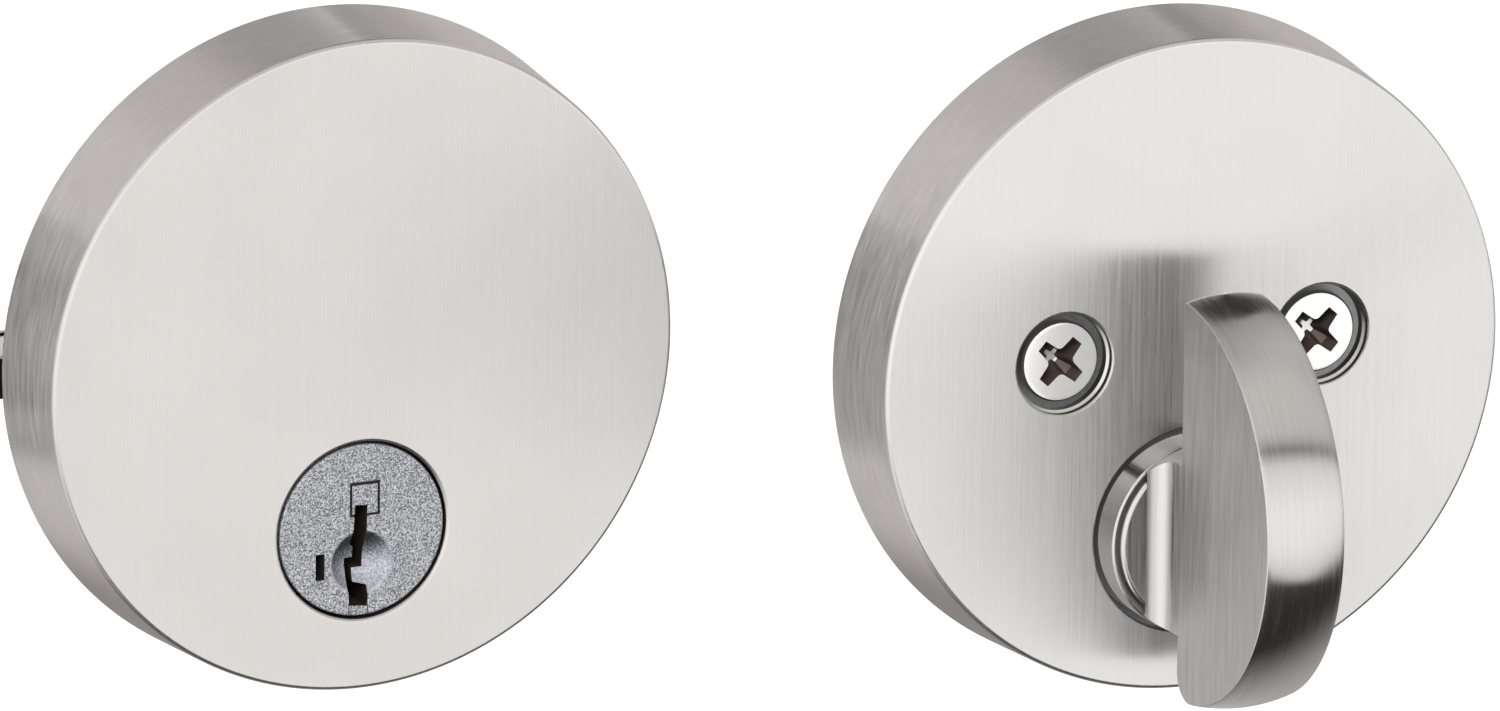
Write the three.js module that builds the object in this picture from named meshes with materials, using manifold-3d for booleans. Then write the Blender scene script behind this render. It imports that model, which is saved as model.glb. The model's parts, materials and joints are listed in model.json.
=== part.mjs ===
// Single-cylinder deadbolt in its two trim halves, with the bolt unit in its place behind the exterior half.
// Millimetres. X runs across the door, Y into it (both trim faces look towards -Y), Z up.
// The origin is where the axis of the door's cross bore meets the door's exterior face.
import * as THREE from "three";
import { mergeVertices } from "three/addons/utils/BufferGeometryUtils.js";
import Module from "manifold-3d";

// ---- Driving dimensions ----

const DOOR = { thickness: 44.5, backset: 60 };
const THROW = 25.4;
const AXIS_DROP = 17; // cylinder and thumbturn axis, below the centre of the round trim
const TRIM = { frontR: 33.4, backR: 34.1, depth: 11.4, wall: 1.8, edge: 0.5 };
const INSIDE = { x: 76.3, y: -30.5 }; // where the interior half is laid out beside the exterior one
const SCREWS = { x: 14, z: 1.6, r: 2.08, headR: 4.2, length: 40 };
const PLUG = { faceR: 8.75, r: 8.2, bore: 8.35, shellR: 9.7, opening: 9.3 };
const TUMBLERS = { count: 5, pitch: 3.2, first: -6.6 };
const THUMB = { bossR: 9.9, bossOut: 3.4, leverR: 20.5, thick: 8.4, chordOut: 6.2, rise: 5.2, opening: 10.5 };
const GEAR = { teeth: 17, module: 1, addendum: 0.85, dedendum: 1.2, thickness: 0.44, pressure: Math.PI / 9 };
const CAM = { r: THROW / Math.SQRT2, hubR: 6, pinR: 1.6, slack: 0.7 };
const BLADE = { wide: 5, thick: 2.2, from: 7.7, to: 50.5 };
const BOLT = { r: 10.9, flat: 7.9, rear: -32.5 };
const TUBE = { r: 11.9, wall: 0.8, rear: -31, front: -58.1 };
const FACE = { high: 57, wide: 25.4, thick: 1.2, corner: 6.35, screwZ: 20.6 };
const BACK = { shrink: 0.4, front: -58.7, rear: -57.7, seat: 0.5 }; // the plate behind the faceplate, with a seat for the tube

const BOLT_Y = DOOR.thickness / 2; // the bolt runs in the middle of the door
const FRONT = -TRIM.depth;
const TRIM_INNER = FRONT + TRIM.wall;
const FINE = 48;
const MEDIUM = 28;
const COARSE = 12;

// ---- Materials ----

const metal = (color, roughness) => new THREE.MeshStandardMaterial({ color, roughness, metalness: 1 });
const satinNickel = metal(0xcfccc6, 0.35);
const plugNickel = metal(0xaeb4ba, 0.3);
const brightScrew = metal(0xdedddb, 0.22);
const zinc = metal(0x9da0a2, 0.5);
const steel = metal(0xa9a7a2, 0.38);
const brass = metal(0xc2a35a, 0.35);
const rubber = new THREE.MeshStandardMaterial({ color: 0x1d1d1e, roughness: 0.85, metalness: 0 });

// ---- Solids: closed geometries, joined and cut with manifold-3d ----

const wasm = await Module();
wasm.setup();

function toSolid(geometry) {
  const bare = new THREE.BufferGeometry();
  const flat = geometry.index ? geometry.toNonIndexed() : geometry;
  bare.setAttribute("position", flat.getAttribute("position"));
  const merged = mergeVertices(bare, 1e-4);
  const corners = merged.index.array;
  const kept = [];
  for (let i = 0; i < corners.length; i += 3) {
    const [a, b, c] = corners.slice(i, i + 3);
    if (a !== b && b !== c && c !== a) kept.push(a, b, c);
  }
  const vertProperties = merged.attributes.position.array;
  return new wasm.Manifold(new wasm.Mesh({ numProp: 3, vertProperties, triVerts: new Uint32Array(kept) }));
}

function toGeometry(solid) {
  const { vertProperties, triVerts } = solid.getMesh();
  const geometry = new THREE.BufferGeometry();
  geometry.setAttribute("position", new THREE.BufferAttribute(vertProperties, 3));
  geometry.setIndex(new THREE.BufferAttribute(triVerts, 1));
  return geometry;
}

const join = (...parts) => toGeometry(parts.map(toSolid).reduce((all, next) => all.add(next)));
const cut = (base, ...tools) => toGeometry(tools.map(toSolid).reduce((rest, tool) => rest.subtract(tool), toSolid(base)));
const overlap = (a, b) => toGeometry(toSolid(a).intersect(toSolid(b)));

// A solid of revolution about +Y: profile points are [radius, y], outer wall upwards.
function turned(profile, segments) {
  const points = profile.map(([r, y]) => new THREE.Vector2(r, y));
  return new THREE.LatheGeometry(points, segments);
}

// A plain cylinder along Y between y0 and y1, with its axis at (x, z).
function rod(r, y0, y1, x = 0, z = 0, segments = COARSE) {
  return turned([[0, y0], [r, y0], [r, y1], [0, y1]], segments).translate(x, 0, z);
}

function ring(inner, outer, y0, y1, segments = COARSE) {
  return turned([[inner, y0], [outer, y0], [outer, y1], [inner, y1], [inner, y0]], segments);
}

function block(x0, x1, y0, y1, z0, z1) {
  const box = new THREE.BoxGeometry(x1 - x0, y1 - y0, z1 - z0);
  return box.translate((x0 + x1) / 2, (y0 + y1) / 2, (z0 + z1) / 2);
}

const outline = (points) => new THREE.Shape(points.map(([a, b]) => new THREE.Vector2(a, b)));

// A flat shape drawn in (x, z) and made thick along Y, from y0 to y1.
function prismY(shape, y0, y1, curveSegments = 8) {
  const slab = new THREE.ExtrudeGeometry(shape, { depth: y1 - y0, bevelEnabled: false, curveSegments });
  return slab.rotateX(Math.PI / 2).translate(0, y1, 0);
}

// A flat shape drawn in (y, z) and made thick along X, from x0 to x1.
function prismX(shape, x0, x1, curveSegments = 8) {
  const slab = new THREE.ExtrudeGeometry(shape, { depth: x1 - x0, bevelEnabled: false, curveSegments });
  const turn = new THREE.Matrix4().makeBasis(
    new THREE.Vector3(0, 1, 0),
    new THREE.Vector3(0, 0, 1),
    new THREE.Vector3(1, 0, 0),
  );
  return slab.applyMatrix4(turn).translate(x0, 0, 0);
}

// Turns a piece made along +Y so that it lies along the bolt's line, y becoming the distance towards the edge.
const alongBolt = (geometry) => geometry.rotateZ(Math.PI / 2).translate(0, BOLT_Y, 0);

function roundedRect(high, wide, corner, centreY) {
  const shape = new THREE.Shape();
  const [y, z] = [wide / 2 - corner, high / 2 - corner];
  shape.absarc(centreY + y, z, corner, 0, Math.PI / 2);
  shape.absarc(centreY - y, z, corner, Math.PI / 2, Math.PI);
  shape.absarc(centreY - y, -z, corner, Math.PI, 1.5 * Math.PI);
  shape.absarc(centreY + y, -z, corner, 1.5 * Math.PI, 2 * Math.PI);
  return shape;
}

// A cross recess for a screwdriver, sunk from y0 to y1 about the Y axis and turned by an angle.
function crossRecess(y0, y1, span, width, turn) {
  const arm = () => block(-span / 2, span / 2, y0, y1, -width / 2, width / 2);
  return join(arm(), arm().rotateY(Math.PI / 2)).rotateY(turn);
}

// Involute spur gear outline with one tooth at +Z: with an odd number of teeth, two alike mesh one above the other.
function gearShape() {
  const pitchR = (GEAR.module * GEAR.teeth) / 2;
  const baseR = pitchR * Math.cos(GEAR.pressure);
  const involute = (angle) => Math.tan(angle) - angle;
  const halfTooth = (r) => {
    const flank = involute(Math.acos(Math.min(1, baseR / r)));
    return (GEAR.thickness * Math.PI) / GEAR.teeth + involute(GEAR.pressure) - flank;
  };
  const radii = [pitchR - GEAR.dedendum, pitchR, pitchR + GEAR.addendum];
  const points = [];
  for (let tooth = 0; tooth < GEAR.teeth; tooth++) {
    const middle = Math.PI / 2 + (2 * Math.PI * tooth) / GEAR.teeth;
    const at = (r, side) => [r * Math.cos(middle + side * halfTooth(r)), r * Math.sin(middle + side * halfTooth(r))];
    for (const r of radii) points.push(at(r, -1));
    for (const r of [...radii].reverse()) points.push(at(r, 1));
  }
  return outline(points);
}

// ---- The two round trim shells ----

// A shallow round cup, open at the back, with a small rounded front edge and a little draft on its rim.
function trimShell() {
  const back = TRIM.backR - TRIM.wall;
  const front = TRIM.frontR - TRIM.wall;
  const edge = TRIM.edge;
  const soft = edge * (1 - Math.SQRT1_2);
  return turned([
    [0, FRONT],
    [TRIM.frontR - edge, FRONT],
    [TRIM.frontR - soft, FRONT + soft],
    [TRIM.frontR, FRONT + edge],
    [TRIM.backR, 0],
    [back, 0],
    [front, TRIM_INNER],
    [0, TRIM_INNER],
  ], FINE);
}

// A hole through the front wall of a trim shell, with a fine chamfer at the face.
function faceHole(r, x, z, chamfer) {
  return turned([
    [0, FRONT - 0.5],
    [r + chamfer + 0.5, FRONT - 0.5],
    [r, FRONT + chamfer],
    [r, TRIM_INNER + 0.5],
    [0, TRIM_INNER + 0.5],
  ], MEDIUM).translate(x, 0, z);
}

const exteriorRose = () => cut(trimShell(), faceHole(PLUG.opening, 0, -AXIS_DROP, 0.3));

const interiorRose = () => cut(
  trimShell(),
  faceHole(THUMB.opening, 0, -AXIS_DROP, 0.25),
  faceHole(SCREWS.headR + 1, -SCREWS.x, SCREWS.z, 0.2),
  faceHole(SCREWS.headR + 1, SCREWS.x, SCREWS.z, 0.2),
);

// ---- Exterior half: chassis, posts, cylinder ----

const CHASSIS = { r: 31.8, front: -3, back: -0.8, collarR: 26.9, collarBack: 5 };
const EAR = { x: 12.3, r: 2.6, front: -8.3, back: -3.3 };
const STAGE = { front: 8, back: 10.2 }; // where the exterior gear pair lies, along Y
const COVER = { front: 11.3, back: 12.5 };
const POST_END = 23.7;

function exteriorChassis() {
  const { r, front, back, collarR, collarBack } = CHASSIS;
  const collarInner = collarR - 2;
  const plate = turned([
    [0, front],
    [r, front],
    [r, back],
    [collarR, back],
    [collarR, collarBack],
    [collarInner, collarBack],
    [collarInner, back],
    [0, back],
  ], FINE);
  const holes = [rod(PLUG.shellR + 0.35, front - 1, collarBack + 1, 0, -AXIS_DROP, MEDIUM), rod(2.65, front - 1, back + 1)];
  for (const side of [-1, 1]) {
    holes.push(rod(2.5, front - 1, back + 1, side * SCREWS.x, SCREWS.z));
    holes.push(rod(1.2, front - 1, back + 1, side * EAR.x, -AXIS_DROP));
  }
  return cut(plate, ...holes);
}

const exteriorGasket = () => ring(27.6, 31.2, -0.72, 0, MEDIUM);

// A standoff riveted into the chassis, tapped at the far end for a mounting screw.
function mountingPost(side) {
  const post = turned([
    [0, -2.9],
    [2.4, -2.9],
    [2.4, -0.75],
    [4.2, -0.75],
    [4.2, COVER.front - 0.1],
    [3.2, COVER.front - 0.1],
    [3.2, POST_END],
    [0, POST_END],
  ], COARSE);
  return cut(post, rod(1.85, POST_END - 13, POST_END + 1)).translate(side * SCREWS.x, 0, SCREWS.z);
}

const postRing = (side) => ring(3.3, 4.6, COVER.back + 0.1, COVER.back + 0.9).translate(side * SCREWS.x, 0, SCREWS.z);

// The fixed shell of the lock cylinder, with two ears that screws hold to the chassis. Made about the plug's axis.
function cylinderBody() {
  const { x, r, front, back } = EAR;
  const shell = join(
    rod(PLUG.shellR, front, 7.5, 0, 0, MEDIUM),
    block(-x - r, x + r, front + 0.3, front + 2, -r, r),
    rod(r - 0.2, front + 1, back, -x),
    rod(r - 0.2, front + 1, back, x),
  );
  const bore = rod(PLUG.bore, front - 1, 9, 0, 0, MEDIUM);
  return cut(shell, bore, rod(1.1, back - 4, back + 1, -x), rod(1.1, back - 4, back + 1, x));
}

function cylinderScrew(side) {
  const head = CHASSIS.back + 0.05;
  const screw = turned([
    [0, EAR.back - 3.7],
    [1, EAR.back - 3.7],
    [1, head],
    [2, head],
    [2, head + 1],
    [1.6, head + 1.4],
    [0, head + 1.4],
  ], COARSE);
  const driver = crossRecess(head + 0.8, head + 2, 2.4, 0.6, 0);
  return cut(screw, driver).translate(side * EAR.x, 0, 0);
}

// ---- The plug and what turns with it, made about the plug's axis ----

const PLUG_FACE = FRONT + 0.2;
const tumblerY = (index) => TUMBLERS.first + index * TUMBLERS.pitch;
const PIN = { x: -0.1, r: 1, low: -2.9, high: 5.2, tab: 2.6 };
const WAFER = { x0: 2.2, x1: 4.4, high: 4.2, thick: 1 };
const SIDEBAR = { x0: 5, x1: 7.9, high: 1.2, from: -8, to: 6.6 };

// The keyway's wards, drawn in (x, z) about the plug's axis.
const KEYWAY = [
  [-0.72, 2.65], [0.62, 2.55], [0.46, -4.08], [-0.7, -4.08], [-0.7, -5.45], [0.72, -5.84],
  [0.69, -7.9], [-1.32, -7.7], [-1.54, -2.98], [-0.6, -2.96], [-0.6, -1.85], [-0.98, -1.65],
];

// The shallow round dish that guides a key's tip: a tool to cut a face at y = 0 to the given depth.
function dimple(r, depth) {
  const profile = [[0, -1], [r, -1]];
  for (let step = 3; step >= 0; step--) {
    const share = step / 3;
    profile.push([r * share, depth * (1 - share ** 2)]);
  }
  return turned(profile, MEDIUM);
}

function cylinderPlug() {
  const body = turned([
    [0, PLUG_FACE],
    [PLUG.faceR - 0.15, PLUG_FACE],
    [PLUG.faceR, PLUG_FACE + 0.15],
    [PLUG.faceR, EAR.front - 0.1],
    [PLUG.r, EAR.front - 0.1],
    [PLUG.r, STAGE.front - 0.4],
    [4, STAGE.front - 0.4],
    [4, STAGE.back + 0.05],
    [3.2, STAGE.back + 0.05],
    [3.2, COVER.back - 0.2],
    [0, COVER.back - 0.2],
  ], MEDIUM);
  const cuts = [
    prismY(outline(KEYWAY), PLUG_FACE - 1, 6),
    block(-4.9, -4.2, PLUG_FACE - 1, PLUG_FACE + 5, -4.7, -2.1),
    dimple(3.4, 0.25).translate(0, PLUG_FACE, -3.4),
    block(SIDEBAR.x0 - 0.2, PLUG.faceR, SIDEBAR.from - 0.2, SIDEBAR.to + 0.2, -SIDEBAR.high - 0.15, SIDEBAR.high + 0.15),
  ];
  for (let i = 0; i < TUMBLERS.count; i++) {
    const y = tumblerY(i);
    const chamber = rod(PIN.r + 0.2, PIN.low - 0.3, PLUG.faceR).rotateX(Math.PI / 2);
    cuts.push(chamber.translate(PIN.x, y, 0));
    const half = WAFER.thick / 2 + 0.12;
    cuts.push(block(0.6, PLUG.faceR, y - half, y + half, -WAFER.high - 0.3, WAFER.high + 0.3));
  }
  return cut(body, ...cuts);
}

// A tumbler pin: a round-nosed pin standing in its chamber, with a side tab that hooks into its wafer.
function keyPin(index) {
  const pin = turned([
    [0, PIN.low],
    [0.35, PIN.low],
    [PIN.r, PIN.low + 0.8],
    [PIN.r, PIN.high],
    [0, PIN.high],
  ], 16).rotateX(Math.PI / 2);
  const tab = block(0, PIN.tab - PIN.x, -0.4, 0.4, -0.4, 0.4);
  return join(pin, tab).translate(PIN.x, tumblerY(index), 0);
}

// A flat wafer with a comb of notches on the pin's side and a gate on the sidebar's side.
function wafer(index) {
  const y = tumblerY(index);
  const half = WAFER.thick / 2;
  const plate = block(WAFER.x0, WAFER.x1, y - half, y + half, -WAFER.high, WAFER.high);
  const notches = [-1, 0, 1].map((step) => 2.4 * step);
  const comb = notches.map((z) => block(WAFER.x0 - 1, PIN.tab + 0.15, y - 1, y + 1, z - 0.6, z + 0.6));
  return cut(plate, ...comb, block(WAFER.x1 - 0.5, WAFER.x1 + 1, y - 1, y + 1, -0.8, 0.8));
}

function sidebar() {
  const { x0, x1, high, from, to } = SIDEBAR;
  return prismY(outline([[x0, -high / 2], [x1 - 0.8, -high], [x1, 0], [x1 - 0.8, high], [x0, high / 2]]), from, to);
}

const plugGear = () => cut(
  prismY(gearShape(), STAGE.front, STAGE.back),
  rod(4.1, STAGE.front - 1, STAGE.back + 1, 0, 0, MEDIUM),
);

// A C-shaped retaining clip, open on one side.
function clip(inner, outer, y0, y1) {
  return cut(ring(inner, outer, y0, y1), block(0, outer + 1, y0 - 1, y1 + 1, -inner * 0.6, inner * 0.6));
}

// ---- Tail gear, tailpiece and cam, turning about the bore's axis ----

const bladeSlot = (y0, y1) => {
  const [x, z] = [BLADE.thick / 2 + 0.15, BLADE.wide / 2 + 0.15];
  return block(-x, x, y0, y1, -z, z);
};

function tailGear() {
  const hub = join(
    rod(2.5, -2.8, STAGE.front + 0.1),
    prismY(gearShape(), STAGE.front, STAGE.back),
    rod(4, STAGE.back - 0.1, COVER.back + 0.2),
  );
  return cut(hub, bladeSlot(BLADE.from - 0.2, COVER.back + 1));
}

const tailpiece = () => block(
  -BLADE.thick / 2, BLADE.thick / 2, BLADE.from, BLADE.to, -BLADE.wide / 2, BLADE.wide / 2,
);

const CASE = {
  front: BOLT_Y - 4.6,
  back: BOLT_Y + 4.6,
  plate: 0.8,
  top: 4.4,
  shoulder: -2.2,
  bottom: -12.5,
  hubR: 8.9,
  bearing: 4.4,
};
const NECK = { x0: -27, x1: -20.5, top: -4.2, bottom: -8.4 }; // the slim waist of the bolt unit, behind its tube
const ARM = { front: BOLT_Y - 2.6, back: BOLT_Y - 0.8, r: 2.6 };
const pinAt = CAM.r * Math.SQRT1_2; // the drive pin stands 45 degrees to the right of straight down

function cam() {
  const hub = turned([
    [0, CASE.front + 0.1],
    [CASE.bearing - 0.2, CASE.front + 0.1],
    [CASE.bearing - 0.2, ARM.front - 0.3],
    [CAM.hubR, ARM.front - 0.3],
    [CAM.hubR, BOLT_Y + 2.9],
    [CASE.bearing - 0.2, BOLT_Y + 2.9],
    [CASE.bearing - 0.2, CASE.back - 0.1],
    [0, CASE.back - 0.1],
  ], MEDIUM);
  const arm = prismY(outline([[-3.4, 0], [3.4, 0], [ARM.r, -CAM.r], [-ARM.r, -CAM.r]]), ARM.front, ARM.back);
  const lever = join(arm, rod(ARM.r, ARM.front, ARM.back, 0, -CAM.r)).rotateY(-Math.PI / 4);
  const pinHole = rod(CAM.pinR + 0.05, ARM.front - 1, ARM.back + 1, pinAt, -pinAt);
  return cut(join(hub, lever), bladeSlot(CASE.front - 1, CASE.back + 1), pinHole);
}

const drivePin = () => rod(CAM.pinR, ARM.front + 0.1, BOLT_Y + 2.5, pinAt, -pinAt);

function gearCover() {
  const { front, back } = COVER;
  const plate = join(
    rod(10.6, front, back, 0, 0, MEDIUM),
    rod(9.6, front, back, 0, -AXIS_DROP, MEDIUM),
    block(-9.5, 9.5, front, back, -AXIS_DROP, 0),
    block(-SCREWS.x, SCREWS.x, front, back, SCREWS.z - 4.5, SCREWS.z + 4.5),
    rod(4.6, front, back, -SCREWS.x, SCREWS.z),
    rod(4.6, front, back, SCREWS.x, SCREWS.z),
  );
  const holes = [rod(4.25, front - 1, back + 1), rod(3.35, front - 1, back + 1, 0, -AXIS_DROP)];
  for (const side of [-1, 1]) holes.push(rod(3.35, front - 1, back + 1, side * SCREWS.x, SCREWS.z));
  return cut(plate, ...holes);
}

// ---- Bolt unit ----

const SLIDE = { rear: -21, half: 3.5, top: NECK.top - 0.2, bottom: NECK.bottom + 0.2 }; // the bolt's flat tail block
const BAR = {
  front: BOLT_Y - 0.5,
  back: BOLT_Y + 1.9,
  waistTop: -4.7,
  waistBottom: -7.9,
  waistEnd: -14,
  top: -6.6,
  bottom: -9.6,
  prong: 1.8,
  tip: -19.8,
  start: -29,
};
const TAIL_RIVET = { x: -24, z: -6.3, r: 0.9 };

// The bolt's section in (y, z): a circle with its two sides cut flat.
function boltSection(clearance) {
  const r = BOLT.r + clearance;
  const half = BOLT.flat + clearance;
  const corner = Math.acos(half / r);
  const shape = new THREE.Shape();
  shape.absarc(BOLT_Y, 0, r, corner, Math.PI - corner);
  shape.absarc(BOLT_Y, 0, r, Math.PI + corner, 2 * Math.PI - corner);
  return shape;
}

function bolt() {
  const [y0, y1] = [BOLT_Y - SLIDE.half, BOLT_Y + SLIDE.half];
  const solid = join(
    prismX(boltSection(0), -DOOR.backset, BOLT.rear),
    block(BOLT.rear - 0.5, SLIDE.rear, y0, y1, SLIDE.bottom, SLIDE.top),
  );
  return cut(
    solid,
    alongBolt(rod(2.1, -BOLT.rear - 1, 57)),
    block(BAR.start - 0.2, SLIDE.rear + 1, BAR.front - 0.1, BAR.back + 0.1, SLIDE.bottom - 1, BAR.waistTop + 0.1),
    rod(TAIL_RIVET.r + 0.1, y0 - 1, y1 + 1, TAIL_RIVET.x, TAIL_RIVET.z),
  );
}

const boltPin = () => alongBolt(rod(1.95, -BOLT.rear + 0.5, 56.8));

// The bolt's stamped tail: a bar with a fork that the cam's drive pin runs in.
function boltTail() {
  const inner = CAM.pinR + CAM.slack;
  const outer = inner + BAR.prong;
  const plate = prismY(outline([
    [BAR.start, BAR.waistTop],
    [BAR.waistEnd, BAR.waistTop],
    [BAR.waistEnd + 2, BAR.top],
    [pinAt + outer, BAR.top],
    [pinAt + outer, BAR.tip],
    [pinAt + inner, BAR.tip],
    [pinAt + inner, BAR.bottom],
    [pinAt - inner, BAR.bottom],
    [pinAt - inner, BAR.tip],
    [pinAt - outer, BAR.tip],
    [pinAt - outer, BAR.bottom],
    [BAR.waistEnd + 2, BAR.bottom],
    [BAR.waistEnd, BAR.waistBottom],
    [BAR.start, BAR.waistBottom],
  ]), BAR.front, BAR.back);
  return cut(plate, rod(TAIL_RIVET.r + 0.1, BAR.front - 1, BAR.back + 1, TAIL_RIVET.x, TAIL_RIVET.z));
}

function tailRivet() {
  const half = SLIDE.half - 0.1;
  return rod(TAIL_RIVET.r, BOLT_Y - half, BOLT_Y + half, TAIL_RIVET.x, TAIL_RIVET.z, 16);
}

function latchTube() {
  const inner = TUBE.r - TUBE.wall;
  const tube = turned([
    [0, -TUBE.rear],
    [TUBE.r, -TUBE.rear],
    [TUBE.r, -TUBE.front],
    [inner, -TUBE.front],
    [inner, -TUBE.rear + 1],
    [0, -TUBE.rear + 1],
  ], MEDIUM);
  const half = SLIDE.half + 0.3;
  const [y0, y1] = [BOLT_Y - half, BOLT_Y + half];
  return cut(alongBolt(tube), block(TUBE.rear - 2, TUBE.rear + 1, y0, y1, BAR.bottom - 0.3, SLIDE.top + 0.3));
}

const CASE_RIVETS = [[-28.7, -11.3], [-18.6, -11.3], [6.1, 4.2]];

// One side plate of the bolt unit's case: a broad foot at the tube, a slim waist under a mounting post,
// and a round head with the cam's bearing.
function casePlate(y0) {
  const y1 = y0 + CASE.plate;
  const plate = join(
    prismY(outline([
      [TUBE.rear + 0.1, CASE.bottom],
      [NECK.x0, CASE.bottom],
      [NECK.x0, NECK.bottom],
      [NECK.x1, NECK.bottom],
      [NECK.x1, CASE.bottom],
      [0, CASE.bottom],
      [0, CASE.shoulder],
      [NECK.x1 + 2, CASE.shoulder],
      [NECK.x1, NECK.top],
      [NECK.x0, NECK.top],
      [NECK.x0, CASE.top],
      [TUBE.rear + 0.1, CASE.top],
    ]), y0, y1),
    rod(CASE.hubR, y0, y1, 0, 0, MEDIUM),
  );
  const holes = CASE_RIVETS.map(([x, z]) => rod(1, y0 - 1, y1 + 1, x, z, 16));
  return cut(plate, rod(CASE.bearing, y0 - 1, y1 + 1), ...holes);
}

function caseRivet([x, z]) {
  const [front, back] = [CASE.front, CASE.back];
  return turned([
    [0, front - 0.3],
    [1.3, front - 0.3],
    [1.3, front - 0.05],
    [0.9, front - 0.05],
    [0.9, back + 0.05],
    [1.5, back + 0.05],
    [1.2, back + 0.6],
    [0, back + 0.6],
  ], 16).translate(x, 0, z);
}

const faceScrewHole = (side) => alongBolt(turned([
  [0, 50],
  [2.2, 50],
  [2.2, 57.75],
  [4.4, DOOR.backset + 0.05],
  [4.4, 62],
  [0, 62],
], COARSE)).translate(0, 0, side * FACE.screwZ);

// A rounded plate with the bolt's window and two countersunk screw holes.
function edgePlate(x0, x1, shrink) {
  const shape = roundedRect(FACE.high - shrink, FACE.wide - shrink, FACE.corner, BOLT_Y);
  const window = prismX(boltSection(0.15), x0 - 1, x1 + 1);
  return cut(prismX(shape, x0, x1, 6), window, faceScrewHole(-1), faceScrewHole(1));
}

const faceplate = () => edgePlate(-DOOR.backset, -DOOR.backset + FACE.thick, 0);

const backplate = () => cut(
  edgePlate(BACK.front, BACK.rear, BACK.shrink),
  alongBolt(rod(TUBE.r + 0.1, -BACK.rear - 1, -BACK.rear + BACK.seat, 0, 0, MEDIUM)),
);

function faceScrew(side) {
  const tip = 41;
  const flush = DOOR.backset - 0.05;
  const screw = turned([
    [0, tip],
    [1.8, tip + 3],
    [1.8, 57.4],
    [4.05, flush],
    [0, flush],
  ], COARSE);
  const driver = crossRecess(flush - 1.5, flush + 1, 4.4, 0.9, 0.3);
  return alongBolt(cut(screw, driver)).translate(0, 0, side * FACE.screwZ);
}

// ---- Interior half, made in its own frame: back plane at y = 0, front face at y = -TRIM.depth ----

const PLATE = { r: 31.2, front: -7.7, back: -5.7, skirt: 1.8 };
const TRAIN = { front: -5.4, back: -3.2 }; // where the interior gear pair lies, along Y
const LID = { front: -2.3, back: -1.3, screwX: 13.5, screwZ: -10 };

function interiorPlate() {
  const inner = PLATE.r - PLATE.skirt;
  const dish = turned([
    [0, PLATE.front],
    [PLATE.r, PLATE.front],
    [PLATE.r, -0.1],
    [inner, -0.1],
    [inner, PLATE.back],
    [0, PLATE.back],
  ], FINE);
  const bosses = [-1, 1].map((side) => rod(2.3, PLATE.back - 1, LID.front - 0.1, side * LID.screwX, LID.screwZ));
  const holes = [
    rod(3.75, PLATE.front - 1, PLATE.back + 1, 0, 0, MEDIUM),
    rod(4.65, PLATE.front - 1, PLATE.back + 1, 0, -AXIS_DROP, MEDIUM),
  ];
  for (const side of [-1, 1]) {
    holes.push(rod(SCREWS.r + 0.25, PLATE.front - 1, PLATE.back + 1, side * SCREWS.x, SCREWS.z));
    holes.push(rod(1.1, -6.6, LID.front + 1, side * LID.screwX, LID.screwZ));
  }
  return cut(join(dish, ...bosses), ...holes);
}

function interiorCover() {
  const { front, back, screwX, screwZ } = LID;
  const plate = join(
    rod(10.6, front, back, 0, 0, MEDIUM),
    rod(10.6, front, back, 0, -AXIS_DROP, MEDIUM),
    block(-10.5, 10.5, front, back, -AXIS_DROP, 0),
    block(-screwX, screwX, front, back, screwZ - 2.9, screwZ + 2.9),
    rod(3, front, back, -screwX, screwZ),
    rod(3, front, back, screwX, screwZ),
  );
  const holes = [-1, 1].map((side) => rod(1.15, front - 1, back + 1, side * screwX, screwZ));
  return cut(plate, rod(5.2, front - 1, back + 1), ...holes);
}

function coverScrew(side) {
  const head = LID.back + 0.05;
  const screw = turned([
    [0, -6.2],
    [0.95, -6.2],
    [0.95, head],
    [2, head],
    [2, head + 0.7],
    [1.6, head + 1.05],
    [0, head + 1.05],
  ], COARSE);
  const driver = crossRecess(head + 0.5, head + 2, 2.4, 0.6, 0.5);
  return cut(screw, driver).translate(side * LID.screwX, 0, LID.screwZ);
}

function mountingScrew(side) {
  const face = FRONT + 1;
  const seat = PLATE.front - 0.1;
  const tip = seat + SCREWS.length;
  const screw = turned([
    [0, face],
    [SCREWS.headR - 0.9, face],
    [SCREWS.headR - 0.25, face + 0.25],
    [SCREWS.headR, face + 0.9],
    [SCREWS.headR, seat],
    [SCREWS.r, seat],
    [SCREWS.r, tip - 1],
    [SCREWS.r - 0.7, tip],
    [0, tip],
  ], COARSE);
  const driver = crossRecess(face - 1, face + 1.6, 5.1, 1.1, Math.PI / 5.6);
  return cut(screw, driver).translate(side * SCREWS.x, 0, SCREWS.z);
}

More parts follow.
